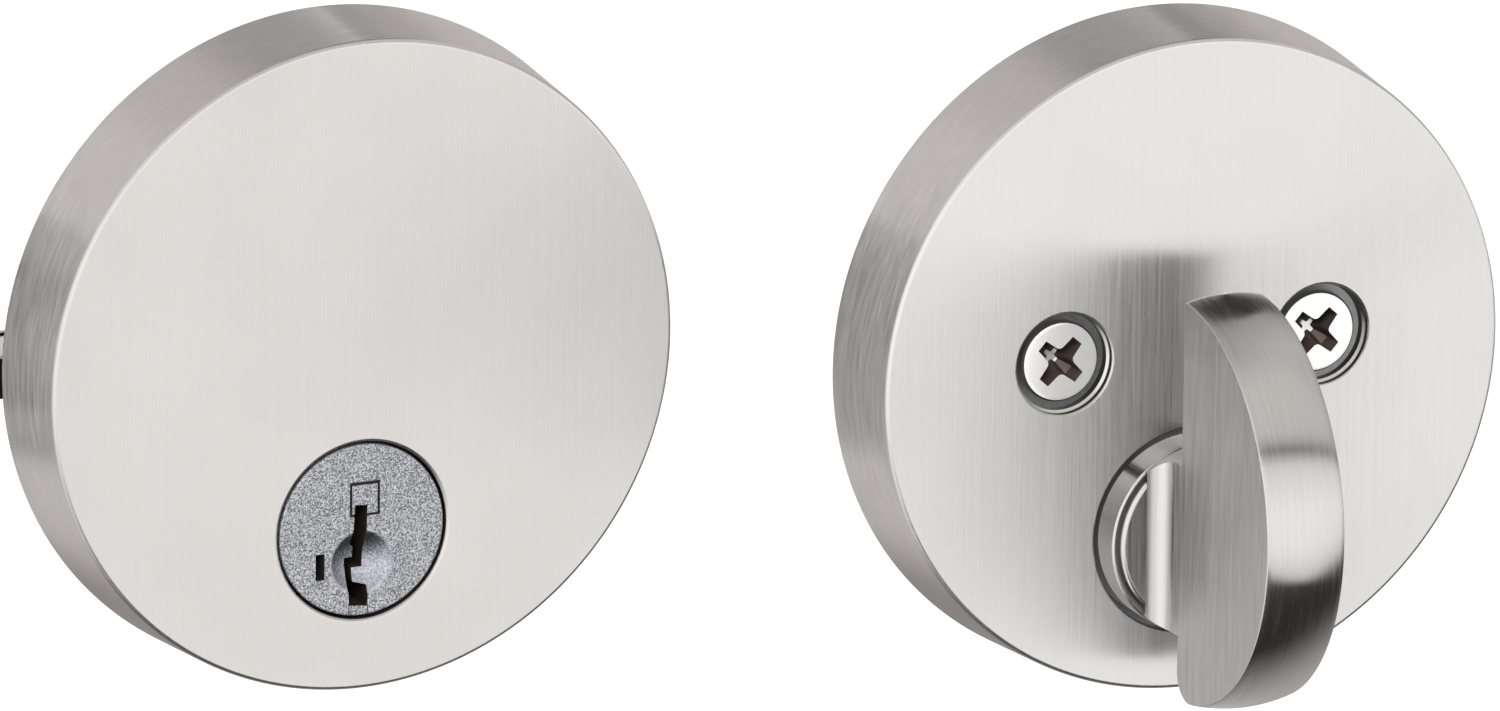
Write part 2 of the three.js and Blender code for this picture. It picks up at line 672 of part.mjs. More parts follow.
// The thumbturn: a round boss, a neck and an upright half-disc lever. Made about its own axis.
function thumbturn() {
  const { bossR, bossOut, leverR, thick, chordOut, rise } = THUMB;
  const bossFace = FRONT - bossOut;
  const chord = FRONT - chordOut;
  const boss = turned([
    [0, bossFace],
    [bossR - 0.8, bossFace],
    [bossR - 0.24, bossFace + 0.24],
    [bossR, bossFace + 0.8],
    [bossR, PLATE.front - 0.2],
    [4.5, PLATE.front - 0.2],
    [4.5, PLATE.back + 0.1],
    [0, PLATE.back + 0.1],
  ], MEDIUM);
  const neck = overlap(
    rod(bossR - 0.1, chord - 0.5, bossFace + 0.5, 0, 0, MEDIUM),
    block(-thick / 2, thick / 2, chord - 1, bossFace + 1, -bossR, bossR),
  );
  const corner = 2.7;
  const cornerZ = rise - Math.sqrt((leverR - corner) ** 2 - corner ** 2);
  const side = new THREE.Shape();
  side.moveTo(chord, rise + leverR);
  side.absarc(chord, rise, leverR, Math.PI / 2, 1.5 * Math.PI - Math.asin(corner / (leverR - corner)));
  side.absarc(chord - corner, cornerZ, corner, 1.5 * Math.PI - Math.asin(corner / (leverR - corner)), 2 * Math.PI);
  const lever = prismX(side, -thick / 2, thick / 2, 24);
  const square = block(-2.8, 2.8, PLATE.back - 0.5, LID.front - 0.1, -2.8, 2.8);
  return join(boss, neck, lever, square);
}

function thumbGear() {
  const { front, back } = TRAIN;
  return cut(prismY(gearShape(), front, back), block(-2.95, 2.95, front - 1, back + 1, -2.95, 2.95));
}

function driveHub() {
  const hub = join(
    rod(3.6, PLATE.front + 0.1, TRAIN.front + 0.1),
    prismY(gearShape(), TRAIN.front, TRAIN.back),
    rod(5, TRAIN.back - 0.1, -0.9),
  );
  return cut(hub, bladeSlot(PLATE.front + 0.7, 0));
}

// ---- Assembly ----

const lock = new THREE.Group();
const interior = new THREE.Group();
interior.position.set(INSIDE.x, INSIDE.y, 0);
const cylinder = new THREE.Group();
cylinder.position.z = -AXIS_DROP;
const turn = new THREE.Group();
turn.position.z = -AXIS_DROP;
lock.add(interior, cylinder);
interior.add(turn);

function add(parent, name, geometry, material) {
  const mesh = new THREE.Mesh(geometry, material);
  mesh.name = name;
  parent.add(mesh);
}

add(lock, "exterior_rose", exteriorRose(), satinNickel);
add(lock, "exterior_chassis", exteriorChassis(), zinc);
add(lock, "exterior_gasket", exteriorGasket(), rubber);
add(lock, "gear_cover", gearCover(), steel);
for (const [hand, side] of [["left", -1], ["right", 1]]) {
  add(lock, `mounting_post_${hand}`, mountingPost(side), zinc);
  add(lock, `post_ring_${hand}`, postRing(side), steel);
  add(cylinder, `cylinder_screw_${hand}`, cylinderScrew(side), steel);
  add(interior, `mounting_screw_${hand}`, mountingScrew(side), brightScrew);
  add(interior, `cover_screw_${hand}`, coverScrew(side), steel);
}

add(cylinder, "cylinder_body", cylinderBody(), zinc);
add(cylinder, "cylinder_plug", cylinderPlug(), plugNickel);
add(cylinder, "plug_gear", plugGear(), steel);
add(cylinder, "plug_clip", clip(3.3, 5.2, STAGE.back + 0.15, COVER.front - 0.2), steel);
add(cylinder, "sidebar", sidebar(), brass);
for (let i = 0; i < TUMBLERS.count; i++) {
  add(cylinder, `key_pin_${i + 1}`, keyPin(i), brass);
  add(cylinder, `wafer_${i + 1}`, wafer(i), steel);
}

add(lock, "tail_gear", tailGear(), steel);
add(lock, "tailpiece", tailpiece(), steel);
add(lock, "cam", cam(), zinc);
add(lock, "drive_pin", drivePin(), steel);

add(lock, "bolt", bolt(), satinNickel);
add(lock, "bolt_pin", boltPin(), steel);
add(lock, "bolt_tail", boltTail(), steel);
add(lock, "tail_rivet", tailRivet(), steel);
add(lock, "latch_tube", latchTube(), steel);
add(lock, "case_plate_front", casePlate(CASE.front), steel);
add(lock, "case_plate_back", casePlate(CASE.back - CASE.plate), steel);
CASE_RIVETS.forEach((place, i) => add(lock, `case_rivet_${i + 1}`, caseRivet(place), steel));
add(lock, "faceplate", faceplate(), satinNickel);
add(lock, "backplate", backplate(), steel);
for (const [hand, side] of [["lower", -1], ["upper", 1]]) add(lock, `face_screw_${hand}`, faceScrew(side), satinNickel);

add(interior, "interior_rose", interiorRose(), satinNickel);
add(interior, "interior_plate", interiorPlate(), zinc);
add(interior, "interior_cover", interiorCover(), steel);
add(interior, "drive_hub", driveHub(), steel);
add(turn, "thumbturn", thumbturn(), satinNickel);
add(turn, "thumb_gear", thumbGear(), steel);
add(turn, "thumb_clip", clip(4.1, 6, TRAIN.back + 0.1, TRAIN.back + 0.7), steel);

export default lock;
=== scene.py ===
import json
import math

import bmesh
import bpy
from mathutils import Matrix, Vector

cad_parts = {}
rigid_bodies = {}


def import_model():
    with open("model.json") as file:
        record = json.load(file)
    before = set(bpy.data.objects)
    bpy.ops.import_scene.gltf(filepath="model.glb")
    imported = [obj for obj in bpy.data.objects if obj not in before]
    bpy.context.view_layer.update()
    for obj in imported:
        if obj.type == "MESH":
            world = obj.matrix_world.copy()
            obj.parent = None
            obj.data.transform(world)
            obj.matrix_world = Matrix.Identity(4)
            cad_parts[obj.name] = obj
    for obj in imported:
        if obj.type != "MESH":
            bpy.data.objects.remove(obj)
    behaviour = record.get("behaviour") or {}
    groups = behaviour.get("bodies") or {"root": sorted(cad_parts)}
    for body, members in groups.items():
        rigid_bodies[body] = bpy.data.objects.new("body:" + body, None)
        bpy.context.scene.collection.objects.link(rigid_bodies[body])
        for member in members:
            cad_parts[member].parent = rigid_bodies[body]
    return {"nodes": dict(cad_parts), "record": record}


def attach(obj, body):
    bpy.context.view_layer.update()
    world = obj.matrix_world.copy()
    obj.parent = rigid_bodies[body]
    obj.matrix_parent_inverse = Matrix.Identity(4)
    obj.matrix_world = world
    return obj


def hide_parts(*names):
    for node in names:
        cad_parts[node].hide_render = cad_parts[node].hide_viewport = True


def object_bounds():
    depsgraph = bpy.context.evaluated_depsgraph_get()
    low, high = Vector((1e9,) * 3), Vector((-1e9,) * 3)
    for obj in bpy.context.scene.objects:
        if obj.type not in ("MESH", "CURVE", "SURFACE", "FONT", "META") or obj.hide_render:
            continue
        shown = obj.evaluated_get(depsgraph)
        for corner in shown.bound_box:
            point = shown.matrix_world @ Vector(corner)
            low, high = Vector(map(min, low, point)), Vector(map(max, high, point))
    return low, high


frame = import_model()
cad_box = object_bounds()

MM = 0.001

# ---- Sizes, in millimetres unless a name says otherwise ----

DROP = 17.0  # from the middle of a trim down to its cylinder or its thumbturn
TRIM = {"front_r": 33.4, "back_r": 34.1, "depth": 11.4, "wall": 1.8, "edge": 0.45}
INSIDE = (76.3, -30.5, 0.0)  # where the interior half is laid out
SCREW = {"x": 14.0, "z": 1.6, "r": 2.08, "head_r": 4.2, "hole_r": 5.2, "length": 40.0}
THUMB = {"boss_r": 9.9, "boss_out": 3.4, "hole_r": 10.5}
LEVER = {"r": 20.55, "crown": 0.6, "half": 4.2, "chord_out": 6.2, "rise": 5.2, "corner": 2.7}
PLUG = {"face_r": 8.85, "r": 8.2, "hole_r": 9.12, "dish_r": 3.4, "dish_deep": 1.1, "dish_z": -3.4}
GEAR = {"teeth": 17, "pitch_r": 8.5, "addendum": 0.85, "dedendum": 1.2, "thickness": 0.44}
PRESSURE = math.pi / 9  # the gears' pressure angle, in radians
OUTER_GEARS = (8.0, 10.2)  # the exterior gear pair's faces, along Y
INNER_GEARS = (-5.4, -3.2)  # the interior pair's
CYLINDER_SCREW_X = 12.3
COVER_SCREW = {"x": 13.5, "z": -10.0}
CAM_R = 25.4 / math.sqrt(2)  # 25.4 mm of throw in a quarter turn
BOLT_Y = 22.25  # the middle of the door
BOLT = {"r": 10.9, "flat": 7.9, "front": -60.0, "rear": -32.5}
TUBE = {"r": 11.9, "wall": 0.8, "rear": 31.0, "front": 58.1, "seat_r": 12.0}
FACE = {"high": 57.0, "wide": 25.4, "thick": 1.2, "corner": 6.35, "screw_z": 20.6}
BLADE = {"wide": 5.0, "thick": 2.2, "from": 7.7, "to": 50.5, "slack": 0.15}
CASE = {"half": 4.6, "sheet": 0.8, "low": -12.5, "shoulder": -2.2}
CASE_RIVETS = [(-28.7, -11.3), (-18.6, -11.3), (6.1, 4.2)]
NECK = {"x0": -27.0, "x1": -20.5, "top": -4.2, "bottom": -8.4}
TAIL_RIVET = (-24.0, -6.3)
SMOOTH_ANGLE = 32  # degrees
FRONT = -TRIM["depth"]
BORE = (0.0, 0.0, 0.0)
CYLINDER = (0.0, 0.0, -DROP)
TURN = (INSIDE[0], INSIDE[1], INSIDE[2] - DROP)


# ---- Camera ----

def add_camera(target, azimuth, elevation, roll, distance, lens):
    """Azimuth 0 looks along +Y. Angles are in degrees, lengths in metres, the lens in millimetres."""
    a, e, t = (math.radians(v) for v in (azimuth, elevation, roll))
    look = Vector((-math.sin(a) * math.cos(e), math.cos(a) * math.cos(e), -math.sin(e)))
    level = look.cross(Vector((0, 0, 1))).normalized()
    upright = level.cross(look)
    right = math.cos(t) * level + math.sin(t) * upright
    up = math.cos(t) * upright - math.sin(t) * level
    data = bpy.data.cameras.new("camera")
    data.sensor_width = 36.0
    data.lens = lens
    data.clip_start, data.clip_end = 0.1, 20.0
    camera = bpy.data.objects.new("camera", data)
    bpy.context.scene.collection.objects.link(camera)
    turn = Matrix((right, up, -look)).transposed().to_4x4()
    camera.matrix_world = Matrix.Translation(Vector(target) - look * distance) @ turn
    bpy.context.scene.camera = camera


add_camera((0.047124, 0.0, -0.00723), -24.403, 16.366, 0.652, 3.0, 720.24)


# ---- Materials ----

class Nodes:
    """A new material's node tree, with short calls to add and link nodes."""

    def __init__(self, name):
        self.material = bpy.data.materials.new(name)
        self.material.use_nodes = True
        self.tree = self.material.node_tree
        self.shader = self.tree.nodes["Principled BSDF"]

    def add(self, kind, **values):
        node = self.tree.nodes.new("ShaderNode" + kind)
        for key, value in values.items():
            setattr(node, key, value)
        return node

    def link(self, source, target):
        self.tree.links.new(source, target)

    def coordinates(self, scale, turn=(0.0, 0.0, 0.0)):
        """Object coordinates, turned by degrees and scaled."""
        place = self.add("TexCoord")
        mapping = self.add("Mapping")
        mapping.inputs["Rotation"].default_value = [math.radians(v) for v in turn]
        mapping.inputs["Scale"].default_value = scale
        self.link(place.outputs["Object"], mapping.inputs["Vector"])
        return mapping.outputs["Vector"]

    def noise(self, vector, scale, detail, rough):
        node = self.add("TexNoise")
        node.inputs["Scale"].default_value = scale
        node.inputs["Detail"].default_value = detail
        node.inputs["Roughness"].default_value = rough
        self.link(vector, node.inputs["Vector"])
        return node.outputs["Fac"]

    def spread(self, value, low, high, start=0.0, end=1.0):
        """Maps a value from low..high on to start..end."""
        node = self.add("MapRange")
        for key, number in (("From Min", low), ("From Max", high), ("To Min", start), ("To Max", end)):
            node.inputs[key].default_value = number
        self.link(value, node.inputs["Value"])
        return node.outputs["Result"]

    def sum(self, first, second):
        node = self.add("Math", operation="ADD")
        self.link(first, node.inputs[0])
        self.link(second, node.inputs[1])
        return node.outputs[0]

    def blend(self, amount, first, second):
        """A colour between two, by amount."""
        node = self.add("Mix", data_type="RGBA")
        node.inputs[6].default_value = (*first, 1.0)
        node.inputs[7].default_value = (*second, 1.0)
        self.link(amount, node.inputs[0])
        return node.outputs[2]

    def bump(self, height, strength, distance):
        node = self.add("Bump")
        node.inputs["Strength"].default_value = strength
        node.inputs["Distance"].default_value = distance
        self.link(height, node.inputs["Height"])
        self.link(node.outputs["Normal"], self.shader.inputs["Normal"])

    def across_brush(self):
        """Sets the tangent across upright brush lines, so that reflections smear sideways only."""
        lines = self.add("VectorTransform", vector_type="VECTOR", convert_from="OBJECT", convert_to="WORLD")
        lines.inputs[0].default_value = (0.0, 0.04, 1.0)
        surface = self.add("NewGeometry")
        across = self.add("VectorMath", operation="CROSS_PRODUCT")
        unit = self.add("VectorMath", operation="NORMALIZE")
        self.link(surface.outputs["Normal"], across.inputs[0])
        self.link(lines.outputs[0], across.inputs[1])
        self.link(across.outputs[0], unit.inputs[0])
        self.link(unit.outputs[0], self.shader.inputs["Tangent"])

    def plain(self, **values):
        """Sets the shader's own sockets."""
        for key, value in values.items():
            self.shader.inputs[key.replace("_", " ")].default_value = value


UPRIGHT = (0, 0, 0)


def brushed(name, color, rough, grain, turn=UPRIGHT, deep=0.1, stretch=0.95):
    """Metal brushed upwards. grain is how often the brush lines change along x, y and z, per metre."""
    n = Nodes(name)
    lines = n.noise(n.coordinates(grain, turn), 1.0, 4.0, 0.65)
    broad = n.noise(n.coordinates([g * 0.22 for g in grain], turn), 1.0, 2.0, 0.5)
    cloud = n.noise(n.coordinates((60, 60, 60)), 1.0, 2.0, 0.5)
    dark = [c * 0.9 for c in color]
    n.link(n.blend(n.spread(lines, 0.3, 0.7), dark, color), n.shader.inputs["Base Color"])
    rough_lines = n.spread(lines, 0.3, 0.7, rough - 0.04, rough + 0.05)
    n.link(n.sum(rough_lines, n.spread(cloud, 0.3, 0.7, -0.02, 0.02)), n.shader.inputs["Roughness"])
    n.bump(n.sum(lines, broad), deep, 0.08 * MM)
    n.across_brush()
    n.plain(Metallic=1.0, Anisotropic=stretch)
    return n.material


def grained(name, color, rough, scale, deep, metallic=1.0, contrast=0.8, width=0.15):
    """Cast, turned or plated metal, or rubber, with an all-over grain; a small width gives hard specks."""
    n = Nodes(name)
    grain = n.noise(n.coordinates((1, 1, 1)), scale, 5.0, 0.7)
    cloud = n.noise(n.coordinates((1, 1, 1)), scale * 0.03, 3.0, 0.55)
    dark = [c * contrast for c in color]
    n.link(n.blend(n.spread(grain, 0.5 - width, 0.5 + width), dark, color), n.shader.inputs["Base Color"])
    n.link(n.spread(cloud, 0.3, 0.7, rough - 0.06, rough + 0.08), n.shader.inputs["Roughness"])
    n.bump(grain, deep, 0.06 * MM)
    n.plain(Metallic=metallic)
    return n.material


face_nickel = brushed("face_nickel", (0.85, 0.835, 0.81), 0.34, (4600, 900, 110), (0, 2.5, 0), 0.16)
inner_nickel = brushed("inner_nickel", (0.89, 0.88, 0.86), 0.32, (3900, 900, 90), (0, -1.5, 0), 0.18)
rim_nickel = brushed("rim_nickel", (0.93, 0.90, 0.875), 0.36, (700, 2600, 140))
lever_nickel = brushed("lever_nickel", (0.745, 0.735, 0.715), 0.18, (3600, 120, 120), UPRIGHT, 0.12, 1.0)
side_nickel = brushed("side_nickel", (0.88, 0.86, 0.84), 0.34, (120, 3600, 120), (2.5, 0, 0), 0.12, 0.9)
screw_nickel = grained("screw_nickel", (1.0, 0.995, 0.975), 0.12, 1500, 0.02, metallic=0.5, contrast=0.95)
plug_nickel = grained("plug_nickel", (0.84, 0.865, 0.92), 0.32, 7200, 1.2, 0.7, contrast=0.2, width=0.05)
dish_nickel = grained("dish_nickel", (0.68, 0.71, 0.78), 0.24, 4200, 1.0, contrast=0.55, width=0.1)
zinc = grained("zinc_casting", (0.40, 0.41, 0.42), 0.5, 2500, 0.35)
steel = grained("plated_steel", (0.50, 0.49, 0.46), 0.33, 3500, 0.12)
# The next material is near black and not metal: painted shade, for gaps, hole walls, grooves and deep
# hollows.
painted_shade = grained("painted_shade", (0.03, 0.024, 0.021), 0.45, 3500, 0.1, metallic=0.0)
# The next material is a brown painted shade for the screws' cross recesses.
painted_recess_shade = grained("painted_recess_shade", (0.17, 0.13, 0.115), 0.35, 3500, 0.1, metallic=0.6)
brass = grained("turned_brass", (0.66, 0.50, 0.24), 0.33, 3000, 0.12)
rubber = grained("black_rubber", (0.02, 0.02, 0.021), 0.8, 4000, 0.4, metallic=0.0)


# ---- Mesh making ----

def new_object(name, mesh, materials):
    for material in materials:
        mesh.materials.append(material)
    piece = bpy.data.objects.new(name, mesh)
    bpy.context.scene.collection.objects.link(piece)
    return piece


def from_bmesh(name, bm, materials=()):
    bmesh.ops.recalc_face_normals(bm, faces=bm.faces)
    mesh = bpy.data.meshes.new(name)
    bm.to_mesh(mesh)
    bm.free()
    return new_object(name, mesh, materials)


def arc(cx, cy, r, start, end, steps):
    """Points on a circular arc, angles in degrees, both ends included."""
    angles = [math.radians(start + (end - start) * i / steps) for i in range(steps + 1)]
    return [(cx + r * math.cos(a), cy + r * math.sin(a)) for a in angles]


def stitch(bm, rows):
    """Quads between rows of as many vertices, each row a closed loop."""
    for low, high in zip(rows, rows[1:]):
        count = len(low)
        for i in range(count):
            j = (i + 1) % count
            bm.faces.new((low[i], low[j], high[j], high[i]))


def turned(name, profile, segments=64, materials=(), at=(0, 0, 0), pitch=1.0):
    """A solid of revolution about Y. A profile point is (radius, y) or (radius, y, thread depth)."""
    closed = tuple(profile[0]) == tuple(profile[-1])
    points = profile[:-1] if closed else profile[1:-1]
    bm = bmesh.new()
    rows = []
    for r, y, *thread in points:
        row = []
        for i in range(segments):
            share = i / segments
            phase = (y / pitch - share) % 1.0
            reach = r - (thread[0] * abs(2 * phase - 1) if thread else 0.0)
            angle = 2 * math.pi * share
            row.append(bm.verts.new((reach * math.sin(angle), y, reach * math.cos(angle))))
        rows.append(row)
    if closed:
        rows.append(rows[0])
    else:
        bm.faces.new(rows[0])
        bm.faces.new(rows[-1])
    stitch(bm, rows)
    bmesh.ops.translate(bm, verts=bm.verts, vec=Vector(at))
    bmesh.ops.scale(bm, verts=bm.verts, vec=(MM, MM, MM))
    return from_bmesh(name, bm, materials)


def prism(name, outline, low, high, along="Y"):
    """A flat outline made thick: outline points are (x, z) along Y, (y, z) along X."""
    place = {"Y": lambda a, b, h: (a, h, b), "X": lambda a, b, h: (h, a, b)}[along]
    bm = bmesh.new()
    ends = []
    for h in (low, high):
        ends.append([bm.verts.new(Vector(place(a, b, h)) * MM) for a, b in outline])
        bm.faces.new(ends[-1])
    stitch(bm, ends)
    return from_bmesh(name, bm)


def block(x, y, z):
    """A box between two values of x, of y and of z."""
    return prism("block", [(x[0], z[0]), (x[1], z[0]), (x[1], z[1]), (x[0], z[1])], y[0], y[1])


def rod(r, low, high, x=0.0, z=0.0, segments=64):
    return turned("rod", [(0, low), (r, low), (r, high), (0, high)], segments, (), (x, 0, z))


def hoop(inner, outer, low, high, segments=96):
    profile = [(inner, low), (outer, low), (outer, high), (inner, high), (inner, low)]
    return turned("hoop", profile, segments)


def settle(piece):
    """Applies a piece's modifiers to its mesh."""
    graph = bpy.context.evaluated_depsgraph_get()
    mesh = bpy.data.meshes.new_from_object(piece.evaluated_get(graph))
    old = piece.data
    piece.modifiers.clear()
    piece.data = mesh
    bpy.data.meshes.remove(old)
    return piece


def boolean(piece, tools, operation):
    for tool in tools:
        modifier = piece.modifiers.new(operation, "BOOLEAN")
        modifier.object = tool
        modifier.operation = operation
        modifier.solver = "EXACT"
        settle(piece)
        bpy.data.objects.remove(tool)
    return piece


def cut(piece, *tools):
    return boolean(piece, tools, "DIFFERENCE")


def join(piece, *others):
    return boolean(piece, others, "UNION")


def soften(piece, width, segments=2, angle=40):
    """Rounds a piece's sharp edges."""
    modifier = piece.modifiers.new("edges", "BEVEL")
    modifier.width = width * MM
    modifier.segments = segments
    modifier.limit_method = "ANGLE"
    modifier.angle_limit = math.radians(angle)
    modifier.miter_outer = "MITER_ARC"
    return settle(piece)


def shade(piece):
    """Smooth shading that keeps edges sharper than SMOOTH_ANGLE, and flat faces flat."""
    mesh = piece.data
    for face in mesh.polygons:
        face.use_smooth = True
    mesh.set_sharp_from_angle(angle=math.radians(SMOOTH_ANGLE))
    weighted = piece.modifiers.new("normals", "WEIGHTED_NORMAL")
    weighted.keep_sharp = True
    weighted.weight = 100


def paint(piece, choose):
    """Gives each face the material number that choose(centre in mm, normal) returns."""
    for face in piece.data.polygons:
        face.material_index = choose(face.center / MM, face.normal)
    return piece


def shift(piece, at):
    piece.data.transform(Matrix.Translation(Vector(at) * MM))
    return piece


def turn_y(piece, degrees):
    piece.data.transform(Matrix.Rotation(math.radians(degrees), 4, "Y"))
    return piece


def along_bolt(piece):
    """Lays a piece made along +Y on the bolt's line, y becoming the distance towards the door's edge."""
    piece.data.transform(Matrix.Translation((0, BOLT_Y * MM, 0)) @ Matrix.Rotation(math.pi / 2, 4, "Z"))
    return piece


def stand_for(piece, node, body):
    """Puts a finished piece in a CAD node's place."""
    piece.name = node + "_fine"
    shade(piece)
    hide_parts(node)
    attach(piece, body)
    return piece


BODY_OF = {node: body for body, nodes in frame["record"]["behaviour"]["bodies"].items() for node in nodes}
SLOT_OF = {part["node"]: part["material_slot"] for part in frame["record"]["subparts"]}
FINISH = {"satin_nickel": face_nickel, "plug_nickel": plug_nickel, "bright_screw": screw_nickel}
FINISH.update({"zinc_casting": zinc, "plain_steel": steel, "brass": brass, "black_rubber": rubber})


def finished(piece, node, at=BORE, edge=0.12, material=None):
    """Moves a piece to at, softens its edges, gives it its slot's material or another, and puts it in its
    CAD node's place."""
    shift(piece, at)
    if edge:
        soften(piece, edge)
    piece.data.materials.clear()
    piece.data.materials.append(material or FINISH[SLOT_OF[node]])
    return stand_for(piece, node, BODY_OF[node])


# ---- The two round trim shells ----

def trim_shell(name, at, face):
    """A shallow cup, open at the back, with a small rounded front edge."""
    edge = TRIM["edge"]
    back, front = TRIM["back_r"] - TRIM["wall"], TRIM["front_r"] - TRIM["wall"]
    inner_edge = 0.8
    profile = [(0, FRONT)]
    profile += arc(TRIM["front_r"] - edge, FRONT + edge, edge, -90, 0, 8)
    profile += arc(TRIM["back_r"] - 0.2, -0.2, 0.2, 0, 90, 3)
    profile += [(back, 0)]
    profile += arc(front - inner_edge, FRONT + TRIM["wall"] + inner_edge, inner_edge, 0, -90, 4)
    profile += [(0, FRONT + TRIM["wall"])]
    return turned(name, profile, 256, (face, rim_nickel, zinc, painted_shade), at)


def face_hole(r, chamfer, at, step=0.0):
    """The tool for a hole through a trim shell's front wall, with a rounded lip and a sloping step."""
    back = FRONT + TRIM["wall"] + 1
    profile = [(0, FRONT - 1), (r + chamfer, FRONT - 1)]
    profile += arc(r + chamfer, FRONT + chamfer, chamfer, -90, -180, 5)
    profile += [(r, FRONT + 0.75), (r - step, FRONT + 0.95)] if step else []
    profile += [(r - step, back), (0, back)]
    return turned("hole", profile, 128, (), at)


def paint_trim(piece, at):
    """Face, rim, cast inside, and hole walls painted near black as shade."""
    face, inner = FRONT + at[1], FRONT + at[1] + TRIM["wall"] - 0.05

    def choose(centre, normal):
        reach = math.hypot(centre.x - at[0], centre.z - at[2])
        if reach > TRIM["front_r"] - 0.4:
            return 1 if normal.y > -0.5 else 0
        if centre.y > inner:
            return 2
        # Walls deep in a hole are painted near black, as shade.
        return 3 if abs(normal.y) < 0.7 and centre.y > face + 0.2 else 0

    return paint(piece, choose)


def make_roses():
    rose = trim_shell("exterior_trim", BORE, face_nickel)
    cut(rose, face_hole(PLUG["hole_r"], 0.36, CYLINDER))
    stand_for(paint_trim(rose, BORE), "exterior_rose", "lock_body")
    x, y, z = INSIDE
    rose = trim_shell("interior_trim", INSIDE, inner_nickel)
    holes = [face_hole(THUMB["hole_r"], 0.22, TURN)]
    for side in (-1, 1):
        holes.append(face_hole(SCREW["hole_r"], 0.22, (x + side * SCREW["x"], y, z + SCREW["z"]), 0.25))
    cut(rose, *holes)
    stand_for(paint_trim(rose, INSIDE), "interior_rose", "lock_body")


make_roses()


# ---- Thumbturn ----

def loft(rings):
    """A closed solid through loops of points in millimetres, the first and last loops capped."""
    bm = bmesh.new()
    rows = [[bm.verts.new(Vector(point) * MM) for point in ring] for ring in rings]
    bm.faces.new(rows[0])
    bm.faces.new(rows[-1])
    stitch(bm, rows)
    return from_bmesh("loft", bm)


def make_neck(low, high, boss_face, r, half, fillet):
    """A circle cut to the lever's thickness, flaring in a concave fillet on to the boss."""
    levels = [(low, half + fillet)]
    levels += [(boss_face - fillet - b, half + fillet + a) for a, b in arc(0, 0, fillet, -90, -180, 8)]
    levels.append((high, half))
    rings = []
    for y, width in levels:
        a = math.degrees(math.acos(min(1, width / r)))
        points = arc(0, 0, r, a, 180 - a, 24) + arc(0, 0, r, 180 + a, 360 - a, 24)
        rings.append([(x, y, z) for x, z in points])
    return loft(rings)


def make_lever(chord):
    """The upright half-disc, its curved front a little crowned from side to side."""
    half, rise, corner = LEVER["half"], LEVER["rise"], LEVER["corner"]
    rings = []
    for i in range(15):
        x = half * (i / 7 - 1)
        r = LEVER["r"] + LEVER["crown"] * (1 - (x / half) ** 2)
        swing = math.degrees(math.asin(corner / (r - corner)))
        corner_z = rise - math.sqrt((r - corner) ** 2 - corner ** 2)
        outline = arc(chord, rise, r, 92, 270 - swing, 120)
        outline += arc(chord - corner, corner_z, corner, 270 - swing, 360, 16)[1:]
        rings.append([(x, y, z) for y, z in outline])
    return soften(loft(rings), 0.12, 3, 50)


def make_thumbturn():
    """Boss, neck and lever in one, with a square drive at the back."""
    boss_r, half = THUMB["boss_r"], LEVER["half"]
    boss_face, chord = FRONT - THUMB["boss_out"], FRONT - LEVER["chord_out"]
    profile = [(0, boss_face)] + arc(boss_r - 1.3, boss_face + 0.5, 0.5, -90, 0, 6)
    profile += [(boss_r - 0.78, boss_face + 0.62)] + arc(boss_r - 0.3, boss_face + 0.75, 0.3, -90, 0, 5)
    profile += [(boss_r, FRONT + 0.4), (boss_r, -7.9), (4.5, -7.9), (4.5, -5.6), (0, -5.6)]
    boss = turned("boss", profile, 160)
    neck = make_neck(boss_face + 0.5, chord - 1.2, boss_face, boss_r - 0.12, half, 2.2)
    join(boss, neck, make_lever(chord), block((-2.8, 2.8), (-6.2, -2.4), (-2.8, 2.8)))
    shift(boss, TURN)
    for material in (lever_nickel, side_nickel, painted_shade):
        boss.data.materials.append(material)

    def choose(centre, normal):
        """Flat sides, and the part of the boss that stands inside the trim's hole, painted near black as
        shade.
        """
        if centre.y > TURN[1] + FRONT + 0.5:
            return 2
        return 1 if abs(normal.x) > 0.8 and abs(centre.x - TURN[0]) < half + 0.1 else 0

    paint(boss, choose)
    stand_for(boss, "thumbturn", "thumbturn")


make_thumbturn()


# ---- Screws ----

def cross_tool(span, width, low, high, turn):
    """The tool for a cross recess about Y, rounded between its arms and drawn in towards high."""
    reach, half, foot = span / 2, width / 2, 0.6
    fillet = half * 0.7
    quarter = [(reach, -half * 0.8), (reach, half * 0.8)]
    quarter += arc(half + fillet, half + fillet, fillet, -90, -180, 4)
    rings = []
    for y, share in ((low, 1), (high - (high - low) * 0.3, (1 + foot) / 2), (high, foot * 0.5)):
        ring = []
        for k in range(4):
            a = math.radians(90 * k + turn)
            c, s = share * math.cos(a), share * math.sin(a)
            ring += [(x * c - z * s, y, x * s + z * c) for x, z in quarter]
        rings.append(ring)
    return loft(rings)


def thread(r, low, high, pitch, depth):
    """Profile rows of a screw thread between two heights."""
    rows = round((high - low) / pitch * 8)
    return [(r, low + (high - low) * i / rows, depth) for i in range(rows + 1)]


